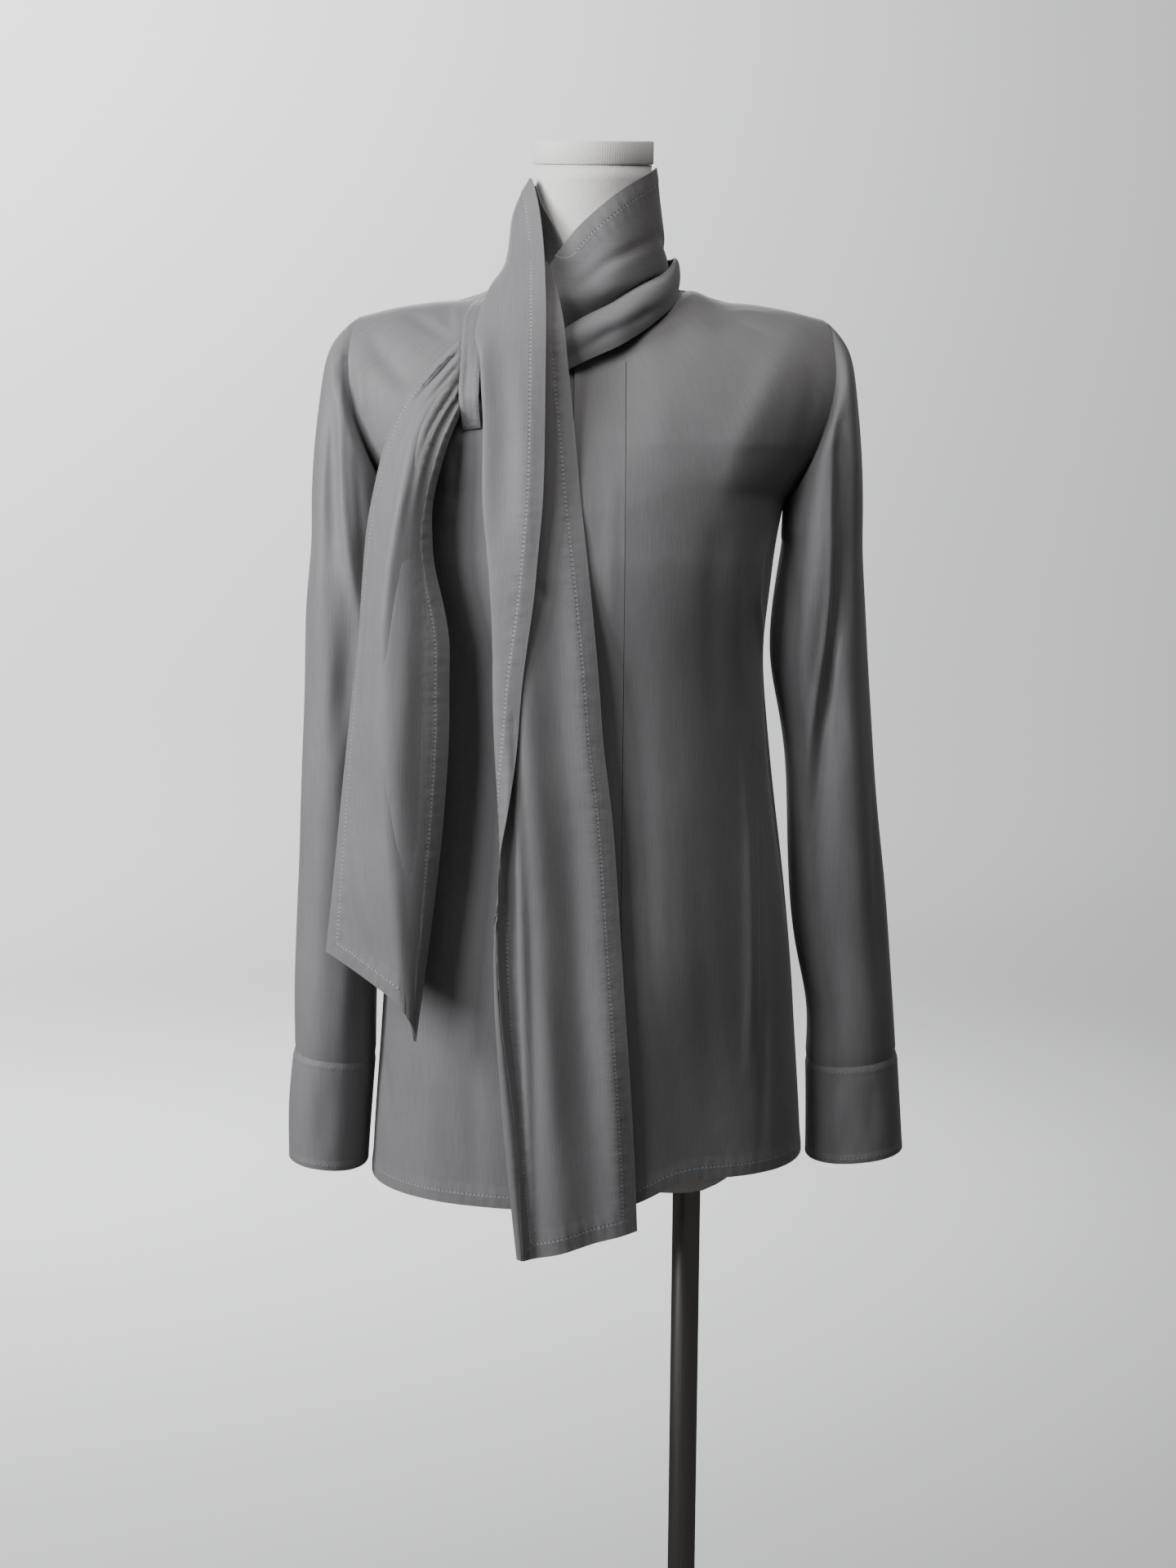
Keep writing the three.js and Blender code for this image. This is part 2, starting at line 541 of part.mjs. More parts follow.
// One panel: columns run from a straight edge near the middle out to the side
function panelGrid(edgeX, sign, shares, isBack) {
  return LEVELS.map((level) => shares.map((share) => {
    const side = sideX(level, share < 0 ? -1 : sign) * sign;
    const x = edgeX + (side - edgeX) * Math.sin(share * HALF_TURN);
    const point = bodyPoint(x, level, isBack);
    const seam = isBack ? SEAM_HALF_GAP : -SEAM_HALF_GAP;
    const nearSeam = Math.abs(share) === 1 || level === 2;
    point.y += nearSeam ? seam : 0;
    return point;
  }));
}

// Keeps the wall's thickness in the plane of the side, shoulder and placket seams
function alongSeam(normal, r, c, point) {
  const atShoulder = r === LEVELS.length - 1 && Math.abs(point.x) > NECK_POINT_X - 1;
  const atSide = Math.abs(point.y) < 1;
  const atPlacket = point.y < 0 && Math.abs(point.x - PLACKET_RIGHT_X) < 1;
  if (atShoulder || atSide) normal.y = 0;
  if (atPlacket) normal.x = 0;
  normal.normalize();
}

function frontLeft() {
  const shares = [0, 0.1, 0.194, 0.29, 0.39, 0.5, 0.61, 0.72, 0.83, 0.93, 1];
  return clothWall(panelGrid(PLACKET_RIGHT_X + SEAM_HALF_GAP, 1, shares, false), CLOTH, false, alongSeam);
}

// The wearer's right front runs on under the placket, set back by the placket's thickness
function frontRight() {
  const shares = [1, 0.93, 0.83, 0.72, 0.61, 0.5, 0.39, 0.3, 0.215, 0.11, 0];
  const grid = panelGrid(PLACKET_LEFT_X - UNDERLAP_SLOPE, -1, shares, false);
  LEVELS.forEach((level, row) => {
    grid[row].push(liftedPoint(PLACKET_LEFT_X, level, false, -UNDERLAP_DEPTH));
    grid[row].push(liftedPoint(UNDERLAP_X, level, false, -UNDERLAP_DEPTH));
  });
  return clothWall(grid, CLOTH, false, alongSeam);
}

function frontPlacket() {
  const stations = [PLACKET_LEFT_X, PLACKET_LEFT_X / 2 + 3, PLACKET_RIGHT_X / 2, PLACKET_RIGHT_X - SEAM_HALF_GAP];
  const grid = LEVELS.map((level) => stations.map((x) => bodyPoint(x, level, false)));
  return clothWall(grid, CLOTH, false, alongSeam);
}

function backPanel() {
  const half = [0.12, 0.264, 0.37, 0.48, 0.6, 0.72, 0.83, 0.93, 1];
  const shares = [...half.map((share) => -share).reverse(), 0, ...half];
  return clothWall(panelGrid(0, 1, shares, true), -CLOTH, false, alongSeam);
}

// The armhole seam at a turn from the shoulder tip (0) over the front (90) to the underarm (180)
function armholePoint(turn, sign) {
  const middle = (SHOULDER_TIP_Z + UNDERARM_Z) / 2;
  const reach = (SHOULDER_TIP_Z - UNDERARM_Z) / 2;
  const z = middle + reach * Math.cos(turn);
  const isBack = Math.sin(turn) < 0;
  const rise = Math.min((z - BUST_Z) / (SHOULDER_TIP_Z - BUST_Z), 1);
  const level = Math.min(2, 1 + Math.asin(rise) / HALF_TURN);
  const point = bodyPoint(sign * sideX(level, sign), level, isBack);
  const atSeam = Math.abs(point.y) < 0.01 || level > 1.999;
  point.y += atSeam ? 0 : (isBack ? SEAM_HALF_GAP : -SEAM_HALF_GAP);
  return point;
}

// A ring of a sleeve or cuff, with its long front fold; turn 0 is outwards and 90 the front
function sleeveRing(curves, z, turn, sign, foldDeep) {
  const middle = (curves.inner(z) + curves.outer(z)) / 2;
  const half = (curves.outer(z) - curves.inner(z)) / 2;
  const power = 2 / SLEEVE_SQUARENESS;
  const across = Math.sign(Math.cos(turn)) * Math.abs(Math.cos(turn)) ** power;
  const ahead = Math.sign(Math.sin(turn)) * Math.abs(Math.sin(turn)) ** power;
  const x = middle + half * across;
  let y = SLEEVE_Y - curves.deep(z) * ahead;
  const fold = (x - foldX(z) - SLEEVE_FOLD_WIDE) / SLEEVE_FOLD_WIDE;
  if (ahead > 0) y += foldDeep * Math.exp(-fold * fold);
  return new THREE.Vector3(sign * x, y, z + CUFF_TILT * (x - middle) * Math.min(1, Math.max(0, (1000 - z) / 200)));
}

const foldX = through(SLEEVE_FOLD, 'z', 'x');

function sleeve(table, sign) {
  const curves = columns(table, 'z');
  const first = table[table.length - 1].z;
  const around = 2 * ARMHOLE_STEPS;
  const grid = [];
  const capShares = [0, 0.12, 0.3, 0.55, 0.8];
  for (const share of capShares) {
    const ring = [];
    const ease = Math.sqrt(1 - (1 - share) ** 2) ** 0.85;
    for (let i = 0; i < around; i += 1) {
      const turn = (2 * Math.PI * i) / around;
      const seam = armholePoint(turn, sign);
      seam.x += sign * 2 * SEAM_HALF_GAP;
      const below = sleeveRing(curves, first, turn, sign, SLEEVE_FOLD_DEEP);
      const point = seam.clone().lerp(below, ease);
      point.z = seam.z + (below.z - seam.z) * share;
      ring.push(point);
    }
    grid.push(ring);
  }
  const levels = [first, 1150, 1108, 1070, 1030, 985, 935, 885, 840, CUFF_SEAM_Z + SEAM_HALF_GAP];
  for (const z of levels) {
    const ring = [];
    const foldDeep = SLEEVE_FOLD_DEEP * Math.min(1, Math.max(0, (z - 880) / 200));
    for (let i = 0; i < around; i += 1) {
      ring.push(sleeveRing(curves, z, (2 * Math.PI * i) / around, sign, foldDeep));
    }
    grid.push(ring);
  }
  return clothWall(grid, sign * CLOTH, true, (normal, r) => sleeveSeams(normal, r, grid.length));
}

// Keeps the wall's thickness from running into the body at the armhole or past the cuff seam
function sleeveSeams(normal, r, count) {
  if (r === 0 && normal.x > 0) normal.x = 0;
  if (r === count - 1) normal.z = 0;
  normal.normalize();
}

function cuff(table, sign) {
  const curves = columns(table, 'z');
  const around = 2 * ARMHOLE_STEPS;
  const top = CUFF_SEAM_Z - SEAM_HALF_GAP;
  const bottom = table[0].z;
  const grid = [top, (top + bottom) / 2, bottom].map((z) => {
    const ring = [];
    for (let i = 0; i < around; i += 1) {
      ring.push(sleeveRing(curves, z, (2 * Math.PI * i) / around, sign, 0));
    }
    return ring;
  });
  return clothWall(grid, sign * CLOTH, true);
}

function neckMiddle(z) {
  return NECK_BASE_Y - NECK_LEAN * Math.max(0, z - NECK_BASE_Z);
}

// A point round the neck; turn 0 is the front and 90 the viewer's right
function roundNeck(turn, radius, z, frontStretch, power = 1) {
  const angle = (turn * Math.PI) / 180;
  const sine = Math.sign(Math.sin(angle)) * Math.abs(Math.sin(angle)) ** power;
  const cosine = Math.sign(Math.cos(angle)) * Math.abs(Math.cos(angle)) ** power;
  const stretch = cosine > 0 ? 1 + (frontStretch - 1) * cosine : COLLAR_BACK;
  return new THREE.Vector3(radius * sine, neckMiddle(z) - radius * stretch * cosine, z);
}

const neckSpread = through(NECK_SPREAD, 'z', 'r');

function turnAt(table, share) {
  const first = table[0].turn;
  return first + (table[table.length - 1].turn - first) * share;
}

function neckWrap() {
  const curves = columns(NECK_WRAP, 'turn');
  const steps = 24;
  const grid = [];
  for (let i = 0; i <= steps; i += 1) {
    const turn = turnAt(NECK_WRAP, i / steps);
    const [top, ridge, crease] = [curves.top(turn), curves.ridge(turn), curves.crease(turn)];
    const topRadius = neckSpread(top) + curves.clear(turn);
    const row = [];
    for (const share of [0, 0.33, 0.66]) {
      const radius = topRadius + (WRAP_RIDGE - topRadius) * share;
      row.push(roundNeck(turn, radius, top + (ridge - top) * share, 1 + 0.2 * share));
    }
    row.push(roundNeck(turn, WRAP_RIDGE, ridge, 1.2));
    row.push(roundNeck(turn, WRAP_CREASE, crease, 1.14));
    const forward = curves.forward(turn);
    row.forEach((point, place) => {
      point.y -= forward * (1 + 0.18 * place);
    });
    grid.push(row);
  }
  return clothWall(grid, -CLOTH);
}

function neckStand() {
  const curves = columns(NECK_STAND, 'turn');
  const steps = 14;
  const grid = [];
  for (let i = 0; i <= steps; i += 1) {
    const turn = turnAt(NECK_STAND, i / steps);
    const top = curves.top(turn);
    const row = [];
    for (const share of [0, 0.4, 0.75, 1]) {
      const z = top + (STAND_LOW - top) * share;
      row.push(roundNeck(turn, neckSpread(z), z, 1));
    }
    grid.push(row);
  }
  return clothWall(grid, -CLOTH);
}

function neckRoll() {
  const curves = columns(NECK_ROLL, 'turn');
  const steps = 24;
  const grid = [];
  for (let i = 0; i <= steps; i += 1) {
    const turn = turnAt(NECK_ROLL, i / steps);
    const [reach, out] = [curves.reach(turn), curves.out(turn)];
    const [top, swell, low] = [curves.top(turn), curves.swell(turn), curves.low(turn)];
    grid.push([
      roundNeck(turn, reach, top, COLLAR_FRONT, 0.8),
      roundNeck(turn, (reach + 2 * out) / 3, top - (top - swell) / 5, COLLAR_FRONT, 0.8),
      roundNeck(turn, out, swell, COLLAR_FRONT, 0.8),
      roundNeck(turn, out, (swell + low) / 2, COLLAR_FRONT, 0.8),
      roundNeck(turn, out - 1, low, COLLAR_FRONT, 0.8),
    ]);
  }
  return clothWall(grid, -CLOTH);
}

// The long end is folded lengthwise: a flap in front, a turn at the fold, and a wavy back layer
function longEnd() {
  const curves = columns(LONG_END, 's');
  const last = LONG_END.length - 1;
  const grid = [];
  for (let i = 0; i <= LONG_END_STEPS; i += 1) {
    const s = (last * i) / LONG_END_STEPS;
    const edge = new THREE.Vector3(curves.ex(s), curves.ey(s), curves.ez(s));
    const fold = new THREE.Vector3(curves.fx(s), curves.fy(s), curves.fz(s));
    const right = new THREE.Vector3(curves.rx(s), curves.ry(s), curves.rz(s));
    const shut = Math.min(1, Math.max(-1, (edge.x - fold.x) / 8));
    const hanging = smooth(2, 5.5, s);
    const intoFront = new THREE.Vector3(-1.5, 0, 4).lerp(new THREE.Vector3(3.5 * shut, -3.2, 0), hanging);
    const intoBack = new THREE.Vector3(2.2, 0, -2).lerp(new THREE.Vector3(3.5, 1.6, 0), hanging);
    const front = fold.clone().add(intoFront).lerp(edge, 0.04);
    const behind = fold.clone().add(intoBack).lerp(right, 0.04);
    const bulge = LONG_END_BULGE * smooth(0, 1.5, s) * (1 - smooth(2.5, 5, s));
    const flap = edge.clone().lerp(front, 0.5).add(new THREE.Vector3(-bulge, -1.2 * hanging, 0));
    const row = [edge, flap, front, fold, behind];
    const wave = LONG_END_SAG * smooth(8, 13, s);
    for (const share of [0.2, 0.4, 0.6, 0.8]) {
      const point = behind.clone().lerp(right, share);
      point.y += wave * ((share - 0.95) * Math.sin(2 * Math.PI * share) * 0.6 - 0.45 * share);
      row.push(point);
    }
    row.push(right);
    grid.push(row);
  }
  return clothWall(grid, CLOTH);
}

// The short end hangs in a lengthwise ridge, gathered into pleats where it leaves the keeper loop
function shortEnd() {
  const curves = columns(SHORT_END, 's');
  const last = SHORT_END.length - 1;
  const grid = [];
  for (let i = 0; i <= SHORT_END_STEPS; i += 1) {
    const s = (last * i) / SHORT_END_STEPS;
    const left = new THREE.Vector3(curves.lx(s), curves.ly(s), curves.lz(s));
    const ridge = new THREE.Vector3(curves.mx(s), curves.my(s), curves.mz(s));
    const right = new THREE.Vector3(curves.rx(s), curves.ry(s), curves.rz(s));
    const bend = ridge.clone().multiplyScalar(2).addScaledVector(left, -0.5).addScaledVector(right, -0.5);
    const gather = SHORT_END_PLEAT_DEEP * Math.max(0, 1 - s / 4.5) * Math.min(1, s / 0.8);
    const row = [];
    for (let c = 0; c < SHORT_END_COLUMNS; c += 1) {
      const u = c / (SHORT_END_COLUMNS - 1);
      const rounded = left.clone().multiplyScalar((1 - u) ** 2)
        .addScaledVector(bend, 2 * u * (1 - u)).addScaledVector(right, u ** 2);
      const creased = u < 0.5 ? left.clone().lerp(ridge, 2 * u) : ridge.clone().lerp(right, 2 * u - 1);
      const point = rounded.lerp(creased, 0.5);
      point.y += gather * Math.cos(2 * Math.PI * SHORT_END_PLEATS * u);
      row.push(point);
    }
    grid.push(row);
  }
  return clothWall(grid, CLOTH);
}

function crossing() {
  const curves = columns(CROSSING, 's');
  const last = CROSSING.length - 1;
  const end = SHORT_END[0];
  const grid = [];
  for (let i = 0; i <= 6; i += 1) {
    const s = (last * i) / 6;
    const top = new THREE.Vector3(curves.tx(s), curves.ty(s), curves.tz(s));
    const low = aboveFront(curves.lx(s), curves.lz(s), CLOTH + 0.5);
    low.y += (end.ry - low.y) * (s / last) ** 6;
    const row = [];
    for (let c = 0; c <= 6; c += 1) {
      const point = top.clone().lerp(low, c / 6);
      point.y -= curves.bulge(s) * Math.sin((Math.PI * c) / 6);
      row.push(point);
    }
    grid.push(row);
  }
  return clothWall(grid, CLOTH);
}

function keeperLoop() {
  const curves = columns(KEEPER, 'level');
  const lowest = KEEPER[0].level;
  const highest = KEEPER[KEEPER.length - 1].level;
  const grid = [];
  for (let i = 0; i <= 16; i += 1) {
    const level = lowest + ((highest - lowest) * i) / 16;
    const middle = curves.x(level);
    const row = [middle - KEEPER_HALF_WIDTH, middle, middle + KEEPER_HALF_WIDTH].map((x) => (
      liftedPoint(x, level, false, curves.lift(level) + CLOTH)
    ));
    grid.push(row);
  }
  return clothWall(grid, CLOTH);
}

// The torso with its neck, closed by flat ends, with two shallow lobes below
function torsoGeometry() {
  const points = [];
  const triangles = [];
  const power = 2 / TORSO_SQUARENESS;
  for (const row of TORSO) {
    for (let i = 0; i < TORSO_SEGMENTS; i += 1) {
      const angle = (2 * Math.PI * i) / TORSO_SEGMENTS;
      const round = row.z > NECK_BASE_Z ? 1 : power;
      const sine = Math.sign(Math.sin(angle)) * Math.abs(Math.sin(angle)) ** round;
      const cosine = Math.sign(Math.cos(angle)) * Math.abs(Math.cos(angle)) ** round;
      const x = row.half * sine;
      const y = row.y - row.deep * cosine;
      const tilt = NECK_TILT * smooth(NECK_BASE_Z, NECK_BASE_Z + 40, row.z);
      points.push(new THREE.Vector3(x, y, row.z + (y - row.y) * tilt - lobeDrop(x, y, row.z)));
    }
  }
  for (let r = 0; r < TORSO.length - 1; r += 1) {
    for (let i = 0; i < TORSO_SEGMENTS; i += 1) {
      const a = r * TORSO_SEGMENTS + i;
      const b = r * TORSO_SEGMENTS + ((i + 1) % TORSO_SEGMENTS);
      triangles.push([a, b, b + TORSO_SEGMENTS], [a, b + TORSO_SEGMENTS, a + TORSO_SEGMENTS]);
    }
  }
  const topRow = (TORSO.length - 1) * TORSO_SEGMENTS;
  const lowMiddle = points.push(new THREE.Vector3(0, 0, TORSO[0].z)) - 1;
  const topMiddle = points.push(new THREE.Vector3(0, TORSO[TORSO.length - 1].y, NECK_TOP_Z)) - 1;
  for (let i = 0; i < TORSO_SEGMENTS; i += 1) {
    const next = (i + 1) % TORSO_SEGMENTS;
    triangles.push([lowMiddle, next, i], [topMiddle, topRow + i, topRow + next]);
  }
  return solidFrom(points, triangles);
}

function lobeDrop(x, y, z) {
  const fade = Math.min(1, Math.max(0, (775 - z) / 60));
  const aside = (Math.abs(x) - LOBE_X) / 44;
  return LOBE_DROP * fade * Math.exp(-aside * aside) * Math.exp(-((y / 62) ** 2));
}

function toManifold(geometry) {
  const bare = geometry.clone();
  bare.deleteAttribute('normal');
  bare.deleteAttribute('uv');
  const merged = mergeVertices(bare, 1e-4);
  const vertProperties = new Float32Array(merged.getAttribute('position').array);
  const triVerts = new Uint32Array(merged.index.array);
  return new wasm.Manifold(new wasm.Mesh({ numProp: 3, vertProperties, triVerts }));
}

function fromManifold(solid) {
  const mesh = solid.getMesh();
  const geometry = new THREE.BufferGeometry();
  geometry.setAttribute('position', new THREE.BufferAttribute(mesh.vertProperties, 3));
  geometry.setIndex(Array.from(mesh.triVerts));
  return geometry;
}

// The pole runs up into a close-fitting hole in the torso
function torso() {
  const holeBottom = 600;
  const holeTop = POLE_TOP_Z + FIT_GAP;
  const hole = new THREE.CylinderGeometry(POLE_RADIUS + FIT_GAP, POLE_RADIUS + FIT_GAP, holeTop - holeBottom, 24);
  hole.rotateX(HALF_TURN);
  hole.translate(POLE_X, 0, (holeTop + holeBottom) / 2);
  return fromManifold(toManifold(torsoGeometry()).subtract(toManifold(hole)));
}

function lathed(profile, segments) {
  const geometry = new THREE.LatheGeometry(profile.map(([r, z]) => new THREE.Vector2(r, z)), segments);
  geometry.rotateX(HALF_TURN);
  return geometry;
}

function neckCap() {
  const top = NECK_CAP_HEIGHT;
  return lathed([[0, 0], [44.2, 0], [44.9, 1], [45, top - 1], [44.3, top], [0, top]], TORSO_SEGMENTS);
}

function pole() {
  const foot = PLATE_HEIGHT + FIT_GAP;
  const geometry = new THREE.CylinderGeometry(POLE_RADIUS, POLE_RADIUS, POLE_TOP_Z - foot, 24);
  geometry.rotateX(HALF_TURN);
  geometry.translate(0, 0, (POLE_TOP_Z + foot) / 2);
  return geometry;
}

function poleCollar() {
  const inner = POLE_RADIUS + FIT_GAP;
  const low = PLATE_HEIGHT + FIT_GAP;
  return lathed([[inner, low], [24, low], [24, low + 5], [18, low + 14], [inner, low + 14], [inner, low]], 24);
}

function basePlate() {
  const r = PLATE_RADIUS;
  const h = PLATE_HEIGHT;
  return lathed([[0, 0], [r - 1, 0], [r, 1], [r, h - 1.5], [r - 1.5, h], [0, h]], 48);
}

const object = new THREE.Group();

function add(name, geometry, material, place = [0, 0, 0], turn = [0, 0, 0]) {
  const mesh = new THREE.Mesh(geometry, material);
  mesh.name = name;
  mesh.position.set(...place);
  mesh.rotation.set(...turn);
  object.add(mesh);
}

add('front_left', frontLeft(), CLOTH_GREY);
add('front_right', frontRight(), CLOTH_GREY);
add('front_placket', frontPlacket(), CLOTH_GREY);
add('back', backPanel(), CLOTH_GREY);
add('sleeve_left', sleeve(SLEEVE_LEFT, 1), CLOTH_GREY);
add('sleeve_right', sleeve(SLEEVE_RIGHT, -1), CLOTH_GREY);
add('cuff_left', cuff(CUFF_LEFT, 1), CLOTH_GREY);
add('cuff_right', cuff(CUFF_RIGHT, -1), CLOTH_GREY);
add('keeper_loop', keeperLoop(), CLOTH_GREY);
add('scarf_neck_wrap', neckWrap(), CLOTH_GREY);
add('scarf_neck_stand', neckStand(), CLOTH_GREY);
add('scarf_neck_roll', neckRoll(), CLOTH_GREY);
add('scarf_crossing', crossing(), CLOTH_GREY);
add('scarf_long_end', longEnd(), CLOTH_GREY);
add('scarf_short_end', shortEnd(), CLOTH_GREY);
add('form_torso', torso(), FORM_COVER);
add('form_neck_cap', neckCap(), FORM_COVER, [0, -5.5 - 0.04, NECK_TOP_Z + FIT_GAP], [NECK_TILT, 0, 0]);
add('pole', pole(), STEEL, [POLE_X, 0, 0]);
add('pole_collar', poleCollar(), STEEL, [POLE_X, 0, 0]);
add('base_plate', basePlate(), STEEL);

export default object;
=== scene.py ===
# A grey long-sleeved blouse with a scarf collar, worn by a limbless dress form on a steel pole and foot.
# Metres, +Z up. The front faces -Y, and the wearer's right side is at -X.

import math

import bmesh
import bpy
from mathutils import Matrix, Vector
from mathutils.kdtree import KDTree


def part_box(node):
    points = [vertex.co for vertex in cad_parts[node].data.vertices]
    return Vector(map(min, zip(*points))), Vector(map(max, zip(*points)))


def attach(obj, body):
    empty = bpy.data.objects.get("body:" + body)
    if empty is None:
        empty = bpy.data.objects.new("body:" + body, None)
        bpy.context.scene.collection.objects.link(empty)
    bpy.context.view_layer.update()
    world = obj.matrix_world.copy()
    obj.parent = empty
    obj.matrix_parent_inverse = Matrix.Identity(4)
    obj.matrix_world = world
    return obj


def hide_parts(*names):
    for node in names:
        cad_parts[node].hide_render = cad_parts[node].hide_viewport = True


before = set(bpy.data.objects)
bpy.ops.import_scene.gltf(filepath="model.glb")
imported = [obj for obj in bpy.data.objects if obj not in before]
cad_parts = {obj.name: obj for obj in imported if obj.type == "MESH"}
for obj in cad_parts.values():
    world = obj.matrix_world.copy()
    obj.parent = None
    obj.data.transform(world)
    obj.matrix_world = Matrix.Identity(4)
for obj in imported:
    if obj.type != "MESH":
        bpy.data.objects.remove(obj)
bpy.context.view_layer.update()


# The stand: a heavy round foot, a tube that rises off its middle, and a collar screwed down round the tube.
# All three are turned from steel and brushed, the tube lengthwise and the flat parts round their middle.
def node_of(tree, kind, **values):
    """A new node, with its inputs and settings given by name."""
    node = tree.nodes.new(kind)
    for name, value in values.items():
        if name in node.inputs:
            node.inputs[name].default_value = value
        else:
            setattr(node, name, value)
    return node


def new_finish(name):
    """An empty material with its Principled shader, ready for its own nodes."""
    finish = bpy.data.materials.new(name)
    finish.use_nodes = True
    return finish, finish.node_tree, finish.node_tree.nodes["Principled BSDF"]


def brushed_steel(name, scale):
    finish, tree, shader = new_finish(name)
    place = node_of(tree, "ShaderNodeTexCoord")
    stretch = node_of(tree, "ShaderNodeMapping", Scale=scale)
    tree.links.new(place.outputs["Object"], stretch.inputs["Vector"])
    strokes = node_of(tree, "ShaderNodeTexNoise", Scale=1.0, Detail=6.0, Roughness=0.7)
    tree.links.new(stretch.outputs["Vector"], strokes.inputs["Vector"])
    tone = node_of(tree, "ShaderNodeValToRGB")
    tone.color_ramp.elements[0].color = (0.30, 0.29, 0.28, 1)
    tone.color_ramp.elements[1].color = (0.50, 0.49, 0.475, 1)
    tree.links.new(strokes.outputs["Fac"], tone.inputs["Fac"])
    tree.links.new(tone.outputs["Color"], shader.inputs["Base Color"])
    rough = node_of(tree, "ShaderNodeMapRange")
    rough.inputs["To Min"].default_value = 0.24
    rough.inputs["To Max"].default_value = 0.44
    tree.links.new(strokes.outputs["Fac"], rough.inputs["Value"])
    tree.links.new(rough.outputs["Result"], shader.inputs["Roughness"])
    grooves = node_of(tree, "ShaderNodeBump", Strength=0.25, Distance=0.00015)
    tree.links.new(strokes.outputs["Fac"], grooves.inputs["Height"])
    tree.links.new(grooves.outputs["Normal"], shader.inputs["Normal"])
    shader.inputs["Metallic"].default_value = 1.0
    return finish


def stand_in(name, bm, finish, slot_name, *nodes):
    """Makes the mesh an object on the one body, with its finish, in place of its solids."""
    mesh = bpy.data.meshes.new(name)
    bm.to_mesh(mesh)
    bm.free()
    mesh.shade_smooth()
    piece = bpy.data.objects.new(name, mesh)
    bpy.context.scene.collection.objects.link(piece)
    mesh.materials.append(finish)
    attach(piece, "root")
    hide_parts(*nodes)
    return piece


def turned(profile, middle, steps):
    """A profile of (radius, height) pairs, spun once round an upright axis."""
    bm = bmesh.new()
    points = [bm.verts.new((middle.x + radius, middle.y, height)) for radius, height in profile]
    edges = [bm.edges.new(pair) for pair in zip(points, points[1:])]
    bmesh.ops.spin(
        bm, geom=points + edges, cent=middle, axis=(0, 0, 1), angle=2 * math.pi, steps=steps, use_merge=True
    )
    bmesh.ops.remove_doubles(bm, verts=bm.verts, dist=0.00001)
    bmesh.ops.recalc_face_normals(bm, faces=bm.faces)
    return bm


foot_low, foot_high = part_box("base_plate")
foot_middle = (foot_low + foot_high) / 2
foot_radius = (foot_high.x - foot_low.x) / 2
round_brushed = brushed_steel("round_brushed_steel", (90, 90, 900))
foot = turned(
    [
        (0, 0),
        (foot_radius - 0.001, 0),
        (foot_radius - 0.0003, 0.0003),
        (foot_radius, 0.001),
        (foot_radius, foot_high.z - 0.0015),
        (foot_radius - 0.0004, foot_high.z - 0.0004),
        (foot_radius - 0.0015, foot_high.z),
        (0, foot_high.z),
    ],
    Vector((foot_middle.x, foot_middle.y, 0)),
    128,
)
foot = stand_in("steel_foot", foot, round_brushed, "steel", "base_plate")
foot.data.set_sharp_from_angle(angle=math.radians(50))

collar_low, collar_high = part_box("pole_collar")
tube_low, tube_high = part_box("pole")
tube_middle = (tube_low + tube_high) / 2
tube_radius = (tube_high.x - tube_low.x) / 2
collar_radius = (collar_high.x - collar_low.x) / 2
collar_hole = tube_radius + 0.0002
collar = turned(
    [
        (collar_hole, collar_low.z),
        (collar_radius, collar_low.z),
        (collar_radius, collar_low.z + 0.0045),
        (collar_radius - 0.0006, collar_low.z + 0.0055),
        (collar_hole + 0.007, collar_high.z - 0.0012),
        (collar_hole + 0.006, collar_high.z),
        (collar_hole + 0.0006, collar_high.z),
        (collar_hole, collar_high.z - 0.0006),
        (collar_hole, collar_low.z),
    ],
    Vector((tube_middle.x, tube_middle.y, 0)),
    64,
)
collar = stand_in("steel_collar", collar, round_brushed, "steel", "pole_collar")
collar.data.set_sharp_from_angle(angle=math.radians(40))

tube = turned(
    [
        (0, tube_low.z),
        (tube_radius - 0.0005, tube_low.z),
        (tube_radius, tube_low.z + 0.0005),
        (tube_radius, tube_high.z - 0.0005),
        (tube_radius - 0.0005, tube_high.z),
        (0, tube_high.z),
    ],
    Vector((tube_middle.x, tube_middle.y, 0)),
    64,
)
tube = stand_in("steel_tube", tube, brushed_steel("long_brushed_steel", (1500, 1500, 14)), "steel", "pole")
tube.data.set_sharp_from_angle(angle=math.radians(50))


# The form: padded torso and neck under a tight off-white cover with a fine slanting rib, two lobes below.
# The neck ends in a cap, a disc covered with the same cloth, whose band shows the rib upright.
CREASE_ANGLE = math.radians(48)
SETTLING_ROUNDS = 3
RIB_PITCH = 0.0017
NECK_RADIUS = 0.045
RIB_SLOPE = 0.75


def cells_from_triangles(bm):
    """Takes out the slanting edge of each pair of triangles, so that the mesh is in four-sided cells again.
    From the squarest pair outwards, the slanting edge of the next triangle is found from the last one."""

    def opposite_cosine(edge, face):
        tip = next(v.co for v in face.verts if v not in edge.verts)
        to_a, to_b = (v.co - tip for v in edge.verts)
        return abs(to_a.normalized().dot(to_b.normalized()))

    inside = [edge for edge in bm.edges if len(edge.link_faces) == 2]
    seed = min(inside, key=lambda edge: sum(opposite_cosine(edge, face) for face in edge.link_faces))
    slant = {face: seed for face in seed.link_faces}
    waiting = list(seed.link_faces)
    while waiting:
        face = waiting.pop()
        for edge in face.edges:
            for other in edge.link_faces:
                if other in slant:
                    continue
                if edge is slant[face]:
                    slant[other] = edge
                else:
                    start = next(v for v in edge.verts if v not in slant[face].verts)
                    tip = next(v for v in other.verts if v not in edge.verts)
                    slant[other] = bm.edges.get((start, tip))
                waiting.append(other)
    bmesh.ops.dissolve_edges(bm, edges=list(set(slant.values())), use_verts=False)


